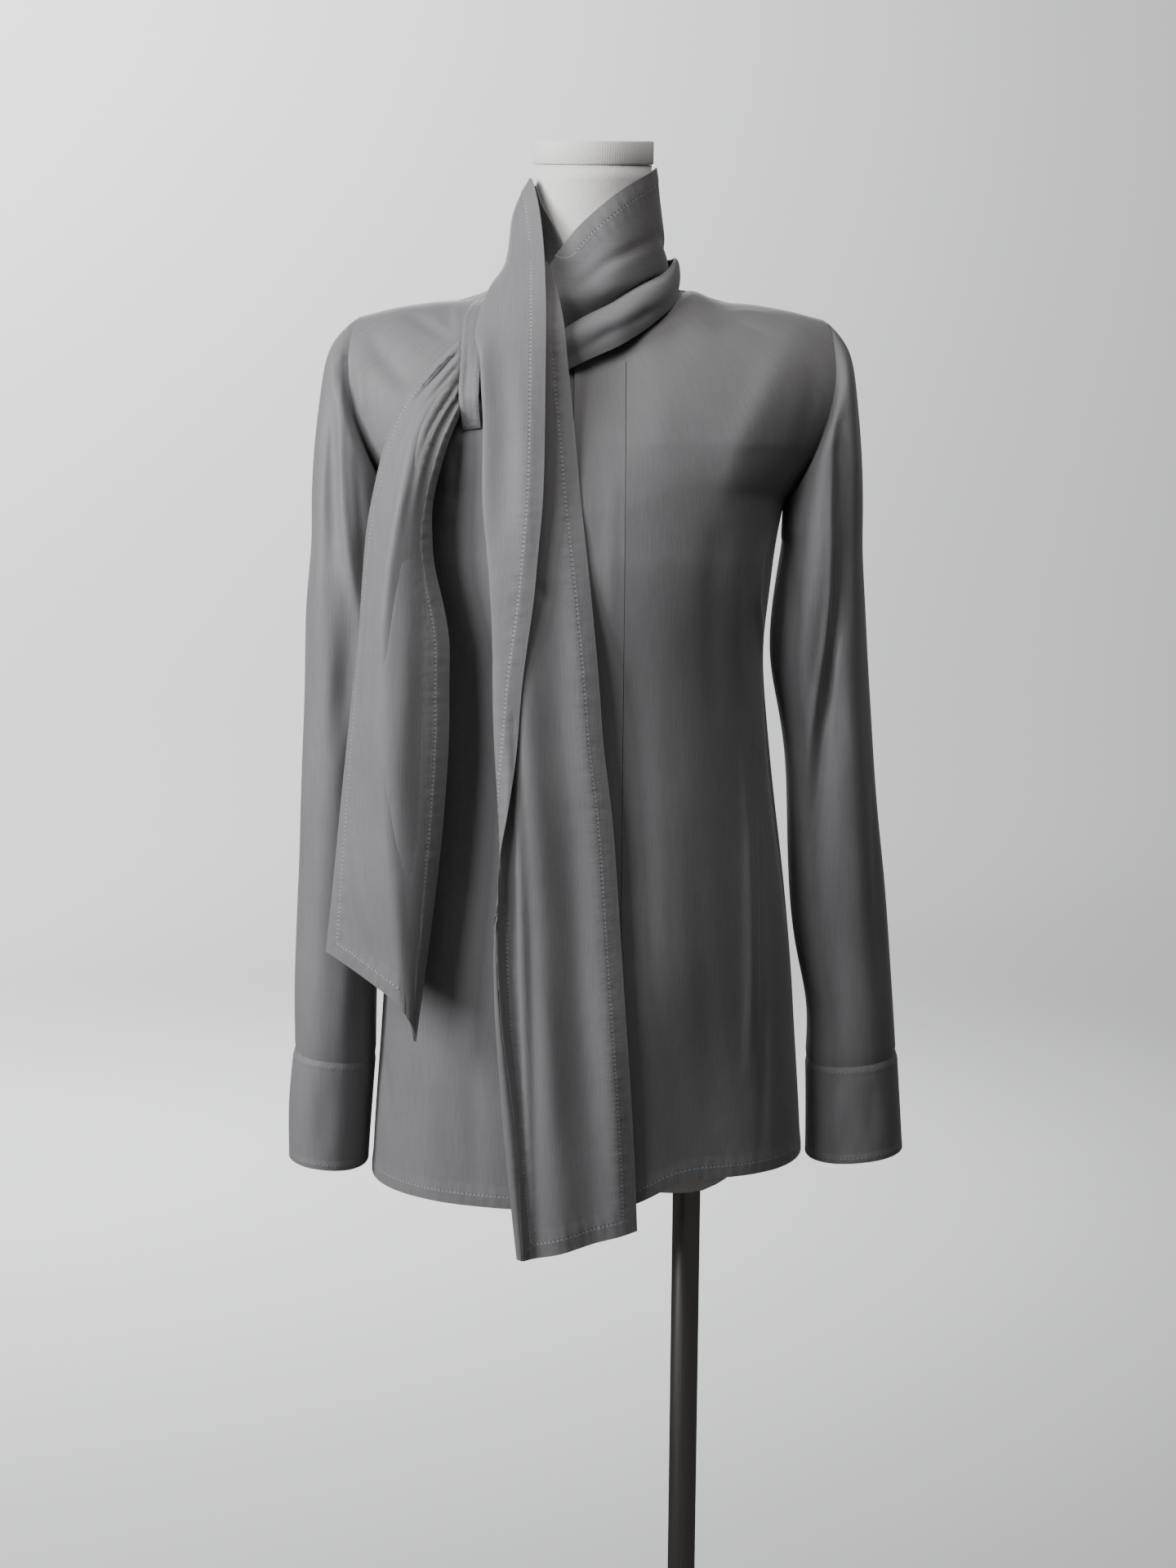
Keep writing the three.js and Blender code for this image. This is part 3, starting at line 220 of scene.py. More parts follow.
def settled_point(vert):
    """Where the smoothed surface will pass nearest this point."""
    rim = [edge.other_vert(vert).co for edge in vert.link_edges if edge.is_boundary]
    if len(vert.link_edges) == 2:
        return vert.co
    if len(rim) == 2:
        return (vert.co * 4 + rim[0] + rim[1]) / 6
    count = len(vert.link_edges)
    near = sum((edge.other_vert(vert).co for edge in vert.link_edges), Vector())
    far = Vector()
    for loop in vert.link_loops:
        far += loop.link_loop_next.link_loop_next.vert.co
    return (vert.co * count * count + near * 4 + far) / (count * (count + 5))


def in_finer_cells(name, bm, levels):
    """The mesh with each cell cut finer, on the smooth surface that its points pull it to."""
    mesh = bpy.data.meshes.new(name)
    bm.to_mesh(mesh)
    bm.free()
    rough = bpy.data.objects.new(name, mesh)
    bpy.context.scene.collection.objects.link(rough)
    finer = rough.modifiers.new("finer", "SUBSURF")
    finer.levels = finer.render_levels = levels
    finer.boundary_smooth = "PRESERVE_CORNERS"
    graph = bpy.context.evaluated_depsgraph_get()
    result = bmesh.new()
    result.from_mesh(rough.evaluated_get(graph).to_mesh())
    bpy.data.objects.remove(rough)
    bpy.data.meshes.remove(mesh)
    return result


def smoothed(name, bm, levels):
    """The mesh in finer cells on a smooth surface that still passes through its points."""
    aims = [vert.co.copy() for vert in bm.verts]
    for _ in range(SETTLING_ROUNDS):
        drift = [aim - settled_point(vert) for aim, vert in zip(aims, bm.verts)]
        for vert, step in zip(bm.verts, drift):
            vert.co += step
    return in_finer_cells(name, bm, levels)


def merged_copy(node):
    """The solid as a mesh whose faces share their points."""
    bm = bmesh.new()
    bm.from_mesh(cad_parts[node].data)
    bmesh.ops.remove_doubles(bm, verts=bm.verts, dist=0.00002)
    bm.normal_update()
    return bm


def form_cloth(name, slope, upright):
    """Off-white cover cloth: a twill rib that climbs by the slope, or stands upright on the cap's band, with
    painted light on its tops and painted shade in its hollows.
    """
    finish, tree, shader = new_finish(name)
    place = node_of(tree, "ShaderNodeTexCoord")
    parts = node_of(tree, "ShaderNodeSeparateXYZ")
    tree.links.new(place.outputs["Object"], parts.inputs["Vector"])
    round_turn = node_of(tree, "ShaderNodeMath", operation="ARCTAN2")
    tree.links.new(parts.outputs["X"], round_turn.inputs[0])
    forward = node_of(tree, "ShaderNodeMath", operation="MULTIPLY")
    forward.inputs[1].default_value = -1.0
    tree.links.new(parts.outputs["Y"], forward.inputs[0])
    tree.links.new(forward.outputs["Value"], round_turn.inputs[1])
    girth = node_of(tree, "ShaderNodeMath", operation="MULTIPLY")
    girth.inputs[1].default_value = NECK_RADIUS
    tree.links.new(round_turn.outputs["Value"], girth.inputs[0])
    climb = node_of(tree, "ShaderNodeMath", operation="MULTIPLY_ADD")
    climb.inputs[1].default_value = slope
    tree.links.new(parts.outputs["Z"], climb.inputs[0])
    tree.links.new(girth.outputs["Value"], climb.inputs[2])
    pitch = node_of(tree, "ShaderNodeMath", operation="MULTIPLY")
    pitch.inputs[1].default_value = 2 * math.pi / RIB_PITCH
    tree.links.new(climb.outputs["Value"], pitch.inputs[0])
    ribs = node_of(tree, "ShaderNodeMath", operation="SINE")
    tree.links.new(pitch.outputs["Value"], ribs.inputs[0])
    yarn = node_of(tree, "ShaderNodeMapping", Scale=upright)
    tree.links.new(place.outputs["Object"], yarn.inputs["Vector"])
    fibres = node_of(tree, "ShaderNodeTexNoise", Scale=1.0, Detail=5.0, Roughness=0.65)
    tree.links.new(yarn.outputs["Vector"], fibres.inputs["Vector"])
    relief = node_of(tree, "ShaderNodeMath", operation="MULTIPLY_ADD")
    relief.inputs[1].default_value = 0.16
    tree.links.new(ribs.outputs["Value"], relief.inputs[0])
    tree.links.new(fibres.outputs["Fac"], relief.inputs[2])
    bump = node_of(tree, "ShaderNodeBump", Strength=0.55, Distance=0.0004)
    tree.links.new(relief.outputs["Value"], bump.inputs["Height"])
    tree.links.new(bump.outputs["Normal"], shader.inputs["Normal"])
    # The tone follows the relief: painted light on the rib tops and painted shade in the rib hollows. The
    # fibre noise is the cloth's own uneven tone.
    tone = node_of(tree, "ShaderNodeValToRGB")
    tone.color_ramp.elements[0].position = 0.25
    tone.color_ramp.elements[0].color = (0.82, 0.80, 0.755, 1)
    tone.color_ramp.elements[1].position = 0.75
    tone.color_ramp.elements[1].color = (0.93, 0.92, 0.885, 1)
    tree.links.new(relief.outputs["Value"], tone.inputs["Fac"])
    tree.links.new(tone.outputs["Color"], shader.inputs["Base Color"])
    shader.inputs["Roughness"].default_value = 0.85
    shader.inputs["Sheen Weight"].default_value = 0.15
    shader.inputs["Sheen Roughness"].default_value = 0.5
    return finish


torso = merged_copy("form_torso")
bmesh.ops.join_triangles(torso, faces=torso.faces, angle_face_threshold=0.6, angle_shape_threshold=1.2)
sharpness = torso.edges.layers.float.new("crease_edge")
for edge in torso.edges:
    if edge.calc_face_angle(0) > CREASE_ANGLE:
        edge[sharpness] = 1.0
torso = in_finer_cells("torso_padding", torso, 2)
ribbed_cloth = form_cloth("ribbed_form_cloth", RIB_SLOPE, (300, 300, 300))
torso = stand_in("form_body", torso, ribbed_cloth, "form_cover", "form_torso")
torso.data.set_sharp_from_angle(angle=math.radians(50))

cap_low, cap_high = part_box("form_neck_cap")
cap_middle = (cap_low + cap_high) / 2
CAP_RADIUS = NECK_RADIUS
CAP_HALF = 0.0085
CAP_TILT = 0.137
cap = turned(
    [
        (0, -CAP_HALF),
        (CAP_RADIUS - 0.0012, -CAP_HALF),
        (CAP_RADIUS - 0.0004, -CAP_HALF + 0.0005),
        (CAP_RADIUS, -CAP_HALF + 0.0015),
        (CAP_RADIUS, CAP_HALF - 0.0012),
        (CAP_RADIUS - 0.0004, CAP_HALF - 0.0004),
        (CAP_RADIUS - 0.0014, CAP_HALF),
        (0, CAP_HALF),
    ],
    Vector((0, 0, 0)),
    96,
)
bmesh.ops.rotate(cap, verts=cap.verts, cent=(0, 0, 0), matrix=Matrix.Rotation(CAP_TILT, 3, "X"))
bmesh.ops.translate(cap, verts=cap.verts, vec=cap_middle)
cap_cloth = form_cloth("cap_form_cloth", 0.0, (900, 900, 160))
cap = stand_in("neck_cap", cap, cap_cloth, "form_cover", "form_neck_cap")
cap.data.set_sharp_from_angle(angle=math.radians(60))


# The blouse's body: a one-piece back and two fronts of a fine plain-woven grey cloth with a soft sheen.
# They meet at the side and shoulder seams, and the hem is turned up once and stitched.
THROUGH_EDGE = 0.0016
RIM_FACING = 0.35
SMOOTH_LEVELS = 3
CLOTH_THICK = 0.0009
THREAD_PITCH = 0.0006
STITCH = 0.0032
STITCH_SHARE = 0.72
LINE_SHARPNESS = 10.0
HEM_TURN = 0.009
HEM_RISE = 0.0004
HEM_RISE_FROM = 1.15
HEM_RISE_OVER = 0.3
SAME_SIDE = 0.4
PUCKER = 0.00022
PUCKER_SPREAD = 0.8
PUCKER_WAVES = [(1.0, 2.24, 0.0), (0.6, 3.61, 1.3), (0.5, 1.37, 0.4)]
SEWN_TOWARDS = Vector((0.83, 0.31, 0.47))


def grey_cloth():
    """Plain weave with upright slubs, a stitched line one turn in from each sewn edge with painted shade
    between its stitches, and puckers by it.
    """
    finish, tree, shader = new_finish("grey_blouse_cloth")
    weave = node_of(tree, "ShaderNodeUVMap", uv_map="weave")
    sewing = node_of(tree, "ShaderNodeUVMap", uv_map="sewing")

    def stretched(source, scale):
        mapping = node_of(tree, "ShaderNodeMapping", Scale=scale)
        tree.links.new(source.outputs["UV"], mapping.inputs["Vector"])
        return mapping

    def noise(source, scale, detail):
        texture = node_of(tree, "ShaderNodeTexNoise", Scale=1.0, Detail=detail, Roughness=0.6)
        tree.links.new(stretched(source, scale).outputs["Vector"], texture.inputs["Vector"])
        return texture.outputs["Fac"]

    def calc(operation, first, second=None, third=None):
        node = node_of(tree, "ShaderNodeMath", operation=operation)
        for place, value in enumerate((first, second, third)):
            if value is None:
                continue
            if isinstance(value, (int, float)):
                node.inputs[place].default_value = value
            else:
                tree.links.new(value, node.inputs[place])
        return node.outputs["Value"]

    slubs = noise(weave, (1100, 38, 1), 3.0)
    weft = noise(weave, (60, 1300, 1), 2.0)
    clouds = noise(weave, (14, 9, 1), 3.0)
    parts = node_of(tree, "ShaderNodeSeparateXYZ")
    tree.links.new(weave.outputs["UV"], parts.inputs["Vector"])
    warp_wave = calc("SINE", calc("MULTIPLY", parts.outputs["X"], 2 * math.pi / THREAD_PITCH))
    weft_wave = calc("SINE", calc("MULTIPLY", parts.outputs["Y"], 2 * math.pi / THREAD_PITCH))
    threads = calc("MULTIPLY", warp_wave, weft_wave)

    seam = node_of(tree, "ShaderNodeSeparateXYZ")
    tree.links.new(sewing.outputs["UV"], seam.inputs["Vector"])
    from_line = calc("ABSOLUTE", calc("SUBTRACT", seam.outputs["Y"], 1.0))
    line = calc("SUBTRACT", 1.0, calc("MINIMUM", calc("MULTIPLY", from_line, LINE_SHARPNESS), 1.0))
    beat = calc("FRACT", seam.outputs["X"])
    thread = calc("MULTIPLY", line, calc("LESS_THAN", beat, STITCH_SHARE))
    near = calc("SUBTRACT", 1.0, calc("MINIMUM", calc("MULTIPLY", from_line, 1.1), 1.0))
    puckers = calc("MULTIPLY", near, noise(sewing, (0.55, 0.8, 1), 2.0))
    turned_up = calc("LESS_THAN", seam.outputs["Y"], 1.0)

    base = node_of(tree, "ShaderNodeValToRGB")
    base.color_ramp.elements[0].position = 0.3
    base.color_ramp.elements[0].color = (0.150, 0.147, 0.152, 1)
    base.color_ramp.elements[1].position = 0.72
    base.color_ramp.elements[1].color = (0.205, 0.202, 0.208, 1)
    blend = calc("MULTIPLY_ADD", slubs, 0.5, calc("MULTIPLY", clouds, 0.5))
    tree.links.new(blend, base.inputs["Fac"])
    sewn = node_of(tree, "ShaderNodeMix", data_type="RGBA", blend_type="MIX")
    sewn.inputs["B"].default_value = (0.33, 0.325, 0.33, 1)
    tree.links.new(base.outputs["Color"], sewn.inputs["A"])
    tree.links.new(calc("MULTIPLY", thread, 0.75), sewn.inputs["Factor"])
    # Painted shade: the stitch line between the threads is coloured near black, for the shade in the needle
    # holes and the groove.
    painted_groove_shade = node_of(tree, "ShaderNodeMix", data_type="RGBA", blend_type="MIX")
    painted_groove_shade.inputs["B"].default_value = (0.05, 0.049, 0.052, 1)
    tree.links.new(sewn.outputs["Result"], painted_groove_shade.inputs["A"])
    tree.links.new(calc("MULTIPLY", calc("SUBTRACT", line, thread), 0.85), painted_groove_shade.inputs["Factor"])
    tree.links.new(painted_groove_shade.outputs["Result"], shader.inputs["Base Color"])

    yarns = calc("MULTIPLY_ADD", slubs, 0.35, calc("MULTIPLY", weft, 0.2))
    relief = calc("MULTIPLY_ADD", threads, 0.05, yarns)
    relief = calc("MULTIPLY_ADD", puckers, 2.2, relief)
    relief = calc("MULTIPLY_ADD", turned_up, 0.35, relief)
    relief = calc("MULTIPLY_ADD", line, -0.8, relief)
    relief = calc("MULTIPLY_ADD", thread, 0.5, relief)
    bump = node_of(tree, "ShaderNodeBump", Strength=0.5, Distance=0.0006)
    tree.links.new(relief, bump.inputs["Height"])
    tree.links.new(bump.outputs["Normal"], shader.inputs["Normal"])
    shader.inputs["Roughness"].default_value = 0.6
    shader.inputs["Specular IOR Level"].default_value = 0.35
    shader.inputs["Sheen Weight"].default_value = 0.3
    shader.inputs["Sheen Roughness"].default_value = 0.35
    shader.inputs["Sheen Tint"].default_value = (0.9, 0.9, 0.95, 1)
    return finish


def outer_side(node, reach):
    """The outer side of a wall of cloth as an open sheet. Without the faces along its edges the wall falls
    into two sides, and the outer one reaches further in the direction given."""
    bm = merged_copy(node)
    rims = set()
    for edge in bm.edges:
        a, b = edge.verts
        through = a.co - b.co
        if through.length < THROUGH_EDGE and (a.normal - b.normal).dot(through.normalized()) > RIM_FACING:
            rims.update(edge.link_faces)
    bmesh.ops.delete(bm, geom=list(rims), context="FACES")
    sides = []
    left = set(bm.verts)
    while left:
        side = {left.pop()}
        waiting = list(side)
        while waiting:
            for edge in waiting.pop().link_edges:
                for vert in edge.verts:
                    if vert not in side:
                        side.add(vert)
                        waiting.append(vert)
        left -= side
        sides.append(side)
    outer = max(sides, key=lambda side: max(vert.co.dot(Vector(reach)) for vert in side))
    bmesh.ops.delete(bm, geom=[vert for vert in bm.verts if vert not in outer], context="VERTS")
    cells_from_triangles(bm)
    return bm


FOLD_REACH = 3
FOLD_END = 0.03
FOLD_FADE = 0.7


def press_folds(bm, folds):
    """Presses soft troughs into a sheet, or raises ridges where the depth is negative. A fold runs through
    points in millimetres, fades out to both ends, and is as wide to each side as its two widths say."""
    bm.normal_update()
    pushes = [0.0] * len(bm.verts)
    bm.verts.ensure_lookup_table()
    for points, depth, width, other_width in folds:
        line = [Vector(point) / 1000 for point in points]
        lengths = [(b - a).length for a, b in zip(line, line[1:])]
        total = sum(lengths)
        reach = FOLD_REACH * max(width, other_width) / 1000
        low = [min(point[axis] for point in line) - reach for axis in range(3)]
        high = [max(point[axis] for point in line) + reach for axis in range(3)]
        for vert in bm.verts:
            if not all(low[axis] < vert.co[axis] < high[axis] for axis in range(3)):
                continue
            best = None
            done = 0.0
            for a, b, length in zip(line, line[1:], lengths):
                share = min(max((vert.co - a).dot(b - a) / length ** 2, 0), 1)
                away = vert.co - a - (b - a) * share
                if best is None or away.length < best[0]:
                    turn = away.dot(vert.normal.cross(b - a))
                    best = (away.length, turn, (done + share * length) / total)
                done += length
            distance, turn, along = best
            span = (width if turn > 0 else other_width) / 1000
            fade = math.sin(math.pi * min(max(along, FOLD_END), 1 - FOLD_END)) ** FOLD_FADE
            pushes[vert.index] += depth / 1000 * fade * math.exp(-((distance / span) ** 2))
    for vert, push in zip(bm.verts, pushes):
        vert.co -= vert.normal * push


EVENING_ROUNDS = 90


def even_out(bm, low, high):
    """Evens the inner points between two heights, where the solid's rows lie close together."""
    chosen = [vert for vert in bm.verts if low < vert.co.z < high and not vert.is_boundary]
    for _ in range(EVENING_ROUNDS):
        bmesh.ops.smooth_vert(
            bm, verts=chosen, factor=0.5, use_axis_x=True, use_axis_y=True, use_axis_z=True
        )


def tuck_edge(bm, chosen, slide, shrink):
    """Slides one edge of a piece under its neighbour, and draws it in, so that the seam is closed."""
    rim = [vert for vert in bm.verts if vert.is_boundary and chosen(vert.co)]
    middle = sum((vert.co for vert in rim), Vector()) / len(rim)
    for vert in rim:
        vert.co += Vector(slide) + (middle - vert.co).normalized() * shrink


def lay_weave(mesh, across, along):
    """Gives the cloth its grain in metres, across and along it, both worked out from a point."""
    layer = mesh.uv_layers.new(name="weave")
    points = [vert.co for vert in mesh.vertices]
    grain = [(across(point), along(point)) for point in points]
    for loop in mesh.loops:
        layer.data[loop.index].uv = grain[loop.vertex_index]


def sew_edges(mesh, inset, sewn):
    """Measures the cloth from its sewn edges: stitches along them, and turns of the hem in from them.
    Then the doubled hem is raised, with a few puckers along its stitches."""
    layer = mesh.uv_layers.new(name="sewing")
    uses = {}
    for polygon in mesh.polygons:
        for key in polygon.edge_keys:
            uses[key] = uses.get(key, 0) + 1
    points = [vert.co for vert in mesh.vertices]
    rim = {}
    for (a, b), count in uses.items():
        if count == 1 and sewn(points[a], points[b]):
            rim.setdefault(a, []).append(b)
            rim.setdefault(b, []).append(a)
    if not rim:
        for loop in mesh.loops:
            layer.data[loop.index].uv = (0.0, 9.0)
        return

    def sewing_order(vert):
        return points[vert].dot(SEWN_TOWARDS)

    start_at = {}
    for first in sorted(rim, key=lambda vert: (len(rim[vert]), sewing_order(vert))):
        if first in start_at:
            continue
        start_at[first] = 0.0
        current = first
        while current is not None:
            unsewn_yet = [vert for vert in rim[current] if vert not in start_at]
            onward = min(unsewn_yet, key=sewing_order, default=None)
            if onward is not None:
                start_at[onward] = start_at[current] + (points[onward] - points[current]).length
            current = onward
    tree = KDTree(len(rim))
    for vert in rim:
        tree.insert(points[vert], vert)
    tree.balance()
    outward = [vert.normal.copy() for vert in mesh.vertices]
    found = []
    for point, normal in zip(points, outward):
        _, nearest, distance = tree.find(point)
        if normal.dot(outward[nearest]) < SAME_SIDE:
            found.append((0.0, 9.0))
            continue
        place = start_at[nearest]
        for other in rim[nearest]:
            step = points[other] - points[nearest]
            share = (point - points[nearest]).dot(step) / step.length_squared
            if 0 < share <= 1:
                away = (point - points[nearest] - step * share).length
                if away < distance:
                    distance = away
                    place = start_at[nearest] + (start_at[other] - start_at[nearest]) * share
        found.append((place / STITCH, distance / inset))
    for loop in mesh.loops:
        layer.data[loop.index].uv = found[loop.vertex_index]
    for vert, normal, (along, turns) in zip(mesh.vertices, outward, found):
        ripple = sum(share * math.sin(pace * along + start) for share, pace, start in PUCKER_WAVES)
        pucker = PUCKER * ripple * math.exp(-((turns - 1) / PUCKER_SPREAD) ** 2)
        doubled = HEM_RISE * min(max((HEM_RISE_FROM - turns) / HEM_RISE_OVER, 0), 1)
        vert.co += normal * (pucker + doubled) * min(inset / HEM_TURN, 1)


def cloth_piece(name, node, reach, folds, across, along, inset, sewn, evened=(), tucks=()):
    """One cut piece of the blouse: its solid's outer side, smoothed, folded, and given its thickness.
    Its edge keeps a sharp corner, as cut cloth does."""
    bm = smoothed(name, outer_side(node, reach), SMOOTH_LEVELS)
    for low, high in evened:
        even_out(bm, low, high)
    for chosen, slide, shrink in tucks:
        tuck_edge(bm, chosen, slide, shrink)
    press_folds(bm, folds)
    for edge in bm.edges:
        edge.smooth = not edge.is_boundary
    piece = stand_in(name, bm, BLOUSE_CLOTH, "cloth", node)
    lay_weave(piece.data, across, along)
    sew_edges(piece.data, inset, sewn)
    wall = piece.modifiers.new("thickness", "SOLIDIFY")
    wall.thickness = CLOTH_THICK
    wall.offset = -1
    return piece


BLOUSE_CLOTH = grey_cloth()
BUST_BAND = (1.185, 1.265)
BODY_ROUND = 0.135
NECKLINE_FROM = 1.325
HEM_BELOW = 0.76


def round_body(point):
    return math.atan2(point.x, -point.y) * BODY_ROUND


def round_back(point):
    return math.atan2(point.x, point.y) * BODY_ROUND


def straight_up(point):
    return point.z


def at_neckline(point):
    return point.z > NECKLINE_FROM and abs(point.x) < 0.069


def at_covered_edge(point):
    return point.x > -0.001 and point.z < NECKLINE_FROM


def at_hem(a, b):
    return a.z < HEM_BELOW and abs(a.z - b.z) < (a - b).length * 0.6


BACK_FOLDS = [
    ([(-118, 53, 1330), (-96, 72, 1280), (-70, 84, 1220), (-60, 88, 1150)], 2.6, 10, 12),
    ([(112, 57, 1325), (92, 74, 1270), (66, 86, 1215), (58, 87, 1140)], 2.4, 11, 11),
    ([(-40, 76, 1345), (-30, 87, 1300), (-6, 91, 1285)], 1.2, 8, 8),
    ([(44, 72, 1342), (34, 86, 1302), (10, 90, 1290)], 1.2, 8, 8),
    ([(-134, 62, 1260), (-120, 58, 1200), (-96, 73, 1130)], -1.8, 10, 10),
    ([(130, 62, 1250), (116, 61, 1190), (92, 75, 1125)], -1.8, 10, 10),
    ([(-92, 74, 1120), (-96, 76, 1010), (-104, 83, 880), (-112, 88, 760)], 3.0, 13, 12),
    ([(-50, 86, 1090), (-54, 89, 960), (-60, 99, 830), (-64, 106, 715)], -2.4, 14, 13),
    ([(-12, 95, 1060), (-16, 102, 930), (-18, 108, 800), (-20, 111, 712)], 2.6, 13, 14),
    ([(34, 90, 1100), (36, 93, 980), (42, 100, 860), (46, 108, 730)], -2.2, 13, 12),
    ([(78, 80, 1070), (82, 87, 940), (92, 94, 820)], 2.8, 12, 14),
    ([(122, 59, 1000), (126, 71, 900), (132, 74, 800)], -1.8, 11, 11),
    ([(-60, 84, 1075), (-10, 95, 1066), (48, 86, 1078)], 1.2, 9, 12),
    ([(-40, 89, 1048), (6, 97, 1040), (60, 84, 1050)], -1.0, 9, 9),
    ([(-8, 94, 1250), (-4, 96, 1200), (-10, 97, 1150)], 1.0, 16, 16),
    ([(-134, 20, 1150), (-138, 24, 1020), (-150, 30, 900), (-159, 30, 770)], -2.0, 12, 12),
    ([(133, 22, 1140), (139, 26, 1010), (154, 28, 880), (163, 30, 760)], -1.8, 12, 12),
]
back = cloth_piece(
    "back_panel", "back", (0, 1, 0), BACK_FOLDS,
    round_back, straight_up, HEM_TURN, at_hem,
    evened=[BUST_BAND],
)

RIGHT_FRONT_FOLDS = [
    ([(-139, -19, 1362), (-117, -41, 1350), (-98, -58, 1337)], 2.4, 5, 7),
    ([(-166, -25, 1348), (-153, -48, 1328), (-129, -69, 1303)], 3.0, 7, 8),
    ([(-149, -29, 1353), (-134, -49, 1336), (-113, -66, 1320)], -1.2, 7, 7),
    ([(-170, -44, 1321), (-165, -52, 1285)], -2.4, 5, 5),
    ([(-179, -35, 1327), (-173, -46, 1288)], 3.0, 5, 5),
    ([(-96, -89, 1270), (-98, -91, 1247), (-101, -88, 1222)], 3.0, 4.5, 4.5),
    ([(-105, -86, 1209), (-100, -89, 1162), (-90, -90, 1115), (-84, -92, 1067)], -1.6, 9, 12),
    ([(-107, -18, 1368), (-104, -38, 1356), (-100, -51, 1346)], 1.1, 2.2, 2.2),
    ([(-113, -18, 1367), (-109, -35, 1357), (-104, -47, 1348)], 0.8, 2.0, 2.0),
    ([(-101, -22, 1366), (-99, -42, 1355), (-97, -52, 1346)], -0.8, 2.0, 2.0),
    ([(-155, -40, 803), (-147, -62, 751)], 2.2, 9, 9),
    ([(-120, -88, 803), (-115, -92, 754), (-108, -97, 707)], -2.0, 11, 9),
    ([(-86, -103, 826), (-83, -106, 771), (-79, -108, 710)], 1.8, 8, 10),
    ([(-132, -20, 1120), (-142, -22, 1000), (-153, -26, 880), (-161, -28, 760)], 2.4, 12, 12),
    ([(-127, -58, 1180), (-121, -62, 1060), (-136, -60, 940), (-142, -64, 820)], -1.6, 12, 12),
]
right_front = cloth_piece(
    "right_front", "front_right", (0, -1, 0), RIGHT_FRONT_FOLDS,
    round_body, straight_up, HEM_TURN, at_hem,
    evened=[BUST_BAND],
    tucks=[(at_neckline, (0.0015, 0.001, 0.002), 0), (at_covered_edge, (0, 0.002, 0), 0)],
)

LEFT_FRONT_FOLDS = [
    ([(149, -36, 1346), (127, -70, 1308), (107, -88, 1266), (96, -93, 1217)], -2.0, 14, 12),
    ([(166, -42, 1330), (158, -59, 1288), (151, -54, 1252), (147, -40, 1230)], 1.2, 9, 9),
    ([(85, -47, 1353), (108, -39, 1355), (135, -41, 1347)], 1.6, 5, 6),
    ([(94, -33, 1363), (115, -24, 1364), (137, -22, 1361)], -1.0, 5, 5),
    ([(108, -85, 1211), (105, -85, 1175), (108, -78, 1133), (113, -70, 1085)], -1.6, 9, 9),
    ([(91, -96, 1211), (88, -98, 1164), (91, -91, 1105), (95, -88, 1056)], 1.6, 9, 9),
    ([(134, -49, 1207), (126, -59, 1183), (124, -57, 1153), (131, -25, 1111)], -2.4, 4, 6),
    ([(114, -71, 1040), (118, -72, 980), (120, -78, 900), (122, -82, 800)], -3.0, 5, 4),
    ([(128, -54, 1030), (131, -61, 960), (133, -69, 880), (134, -73, 800), (134, -78, 726)], 3.0, 5, 5),
    ([(77, -102, 1010), (82, -103, 932), (90, -98, 851), (100, -93, 750)], 1.6, 14, 12),
    ([(112, -75, 1019), (119, -76, 933), (127, -76, 846), (137, -75, 738)], -1.4, 12, 14),
    ([(46, -110, 1106), (49, -109, 1023), (52, -111, 927), (57, -108, 828)], -1.4, 10, 12),
    ([(132, -20, 1120), (142, -24, 1000), (157, -20, 880)], 2.2, 12, 12),
]
left_front = cloth_piece(
    "left_front", "front_left", (0, -1, 0), LEFT_FRONT_FOLDS,
    round_body, straight_up, HEM_TURN, at_hem,
    evened=[BUST_BAND],
    tucks=[(at_neckline, (-0.0015, 0.001, 0.002), 0)],
)


# The placket: a strip folded double down the left front's edge, stitched through, which hides the buttons.
PLACKET_FOLDS = [
    ([(16, -106, 1250), (15, -117, 1180), (16, -114, 1110)], -0.6, 5, 5),
]
placket = cloth_piece(
    "placket_strip", "front_placket", (0, -1, 0), PLACKET_FOLDS,
    round_body, straight_up, HEM_TURN, at_hem,
    evened=[BUST_BAND],
)


# The sleeves: one piece each, set in at the armhole and closed by a seam under the arm.
# Each has a long soft fold down its front, where the empty sleeve hangs flat.
ARM_MIDDLE = 0.19
ARM_ROUND = 0.04
ELBOW = 0.9


def round_arm(point):
    return math.atan2(abs(point.x) - ARM_MIDDLE, -point.y) * ARM_ROUND


def unsewn(a, b):
    return False


def sewn_all_round(a, b):
    return True


def at_armhole(point):
    return point.z > ELBOW


def at_wrist(point):
    return point.z < ELBOW


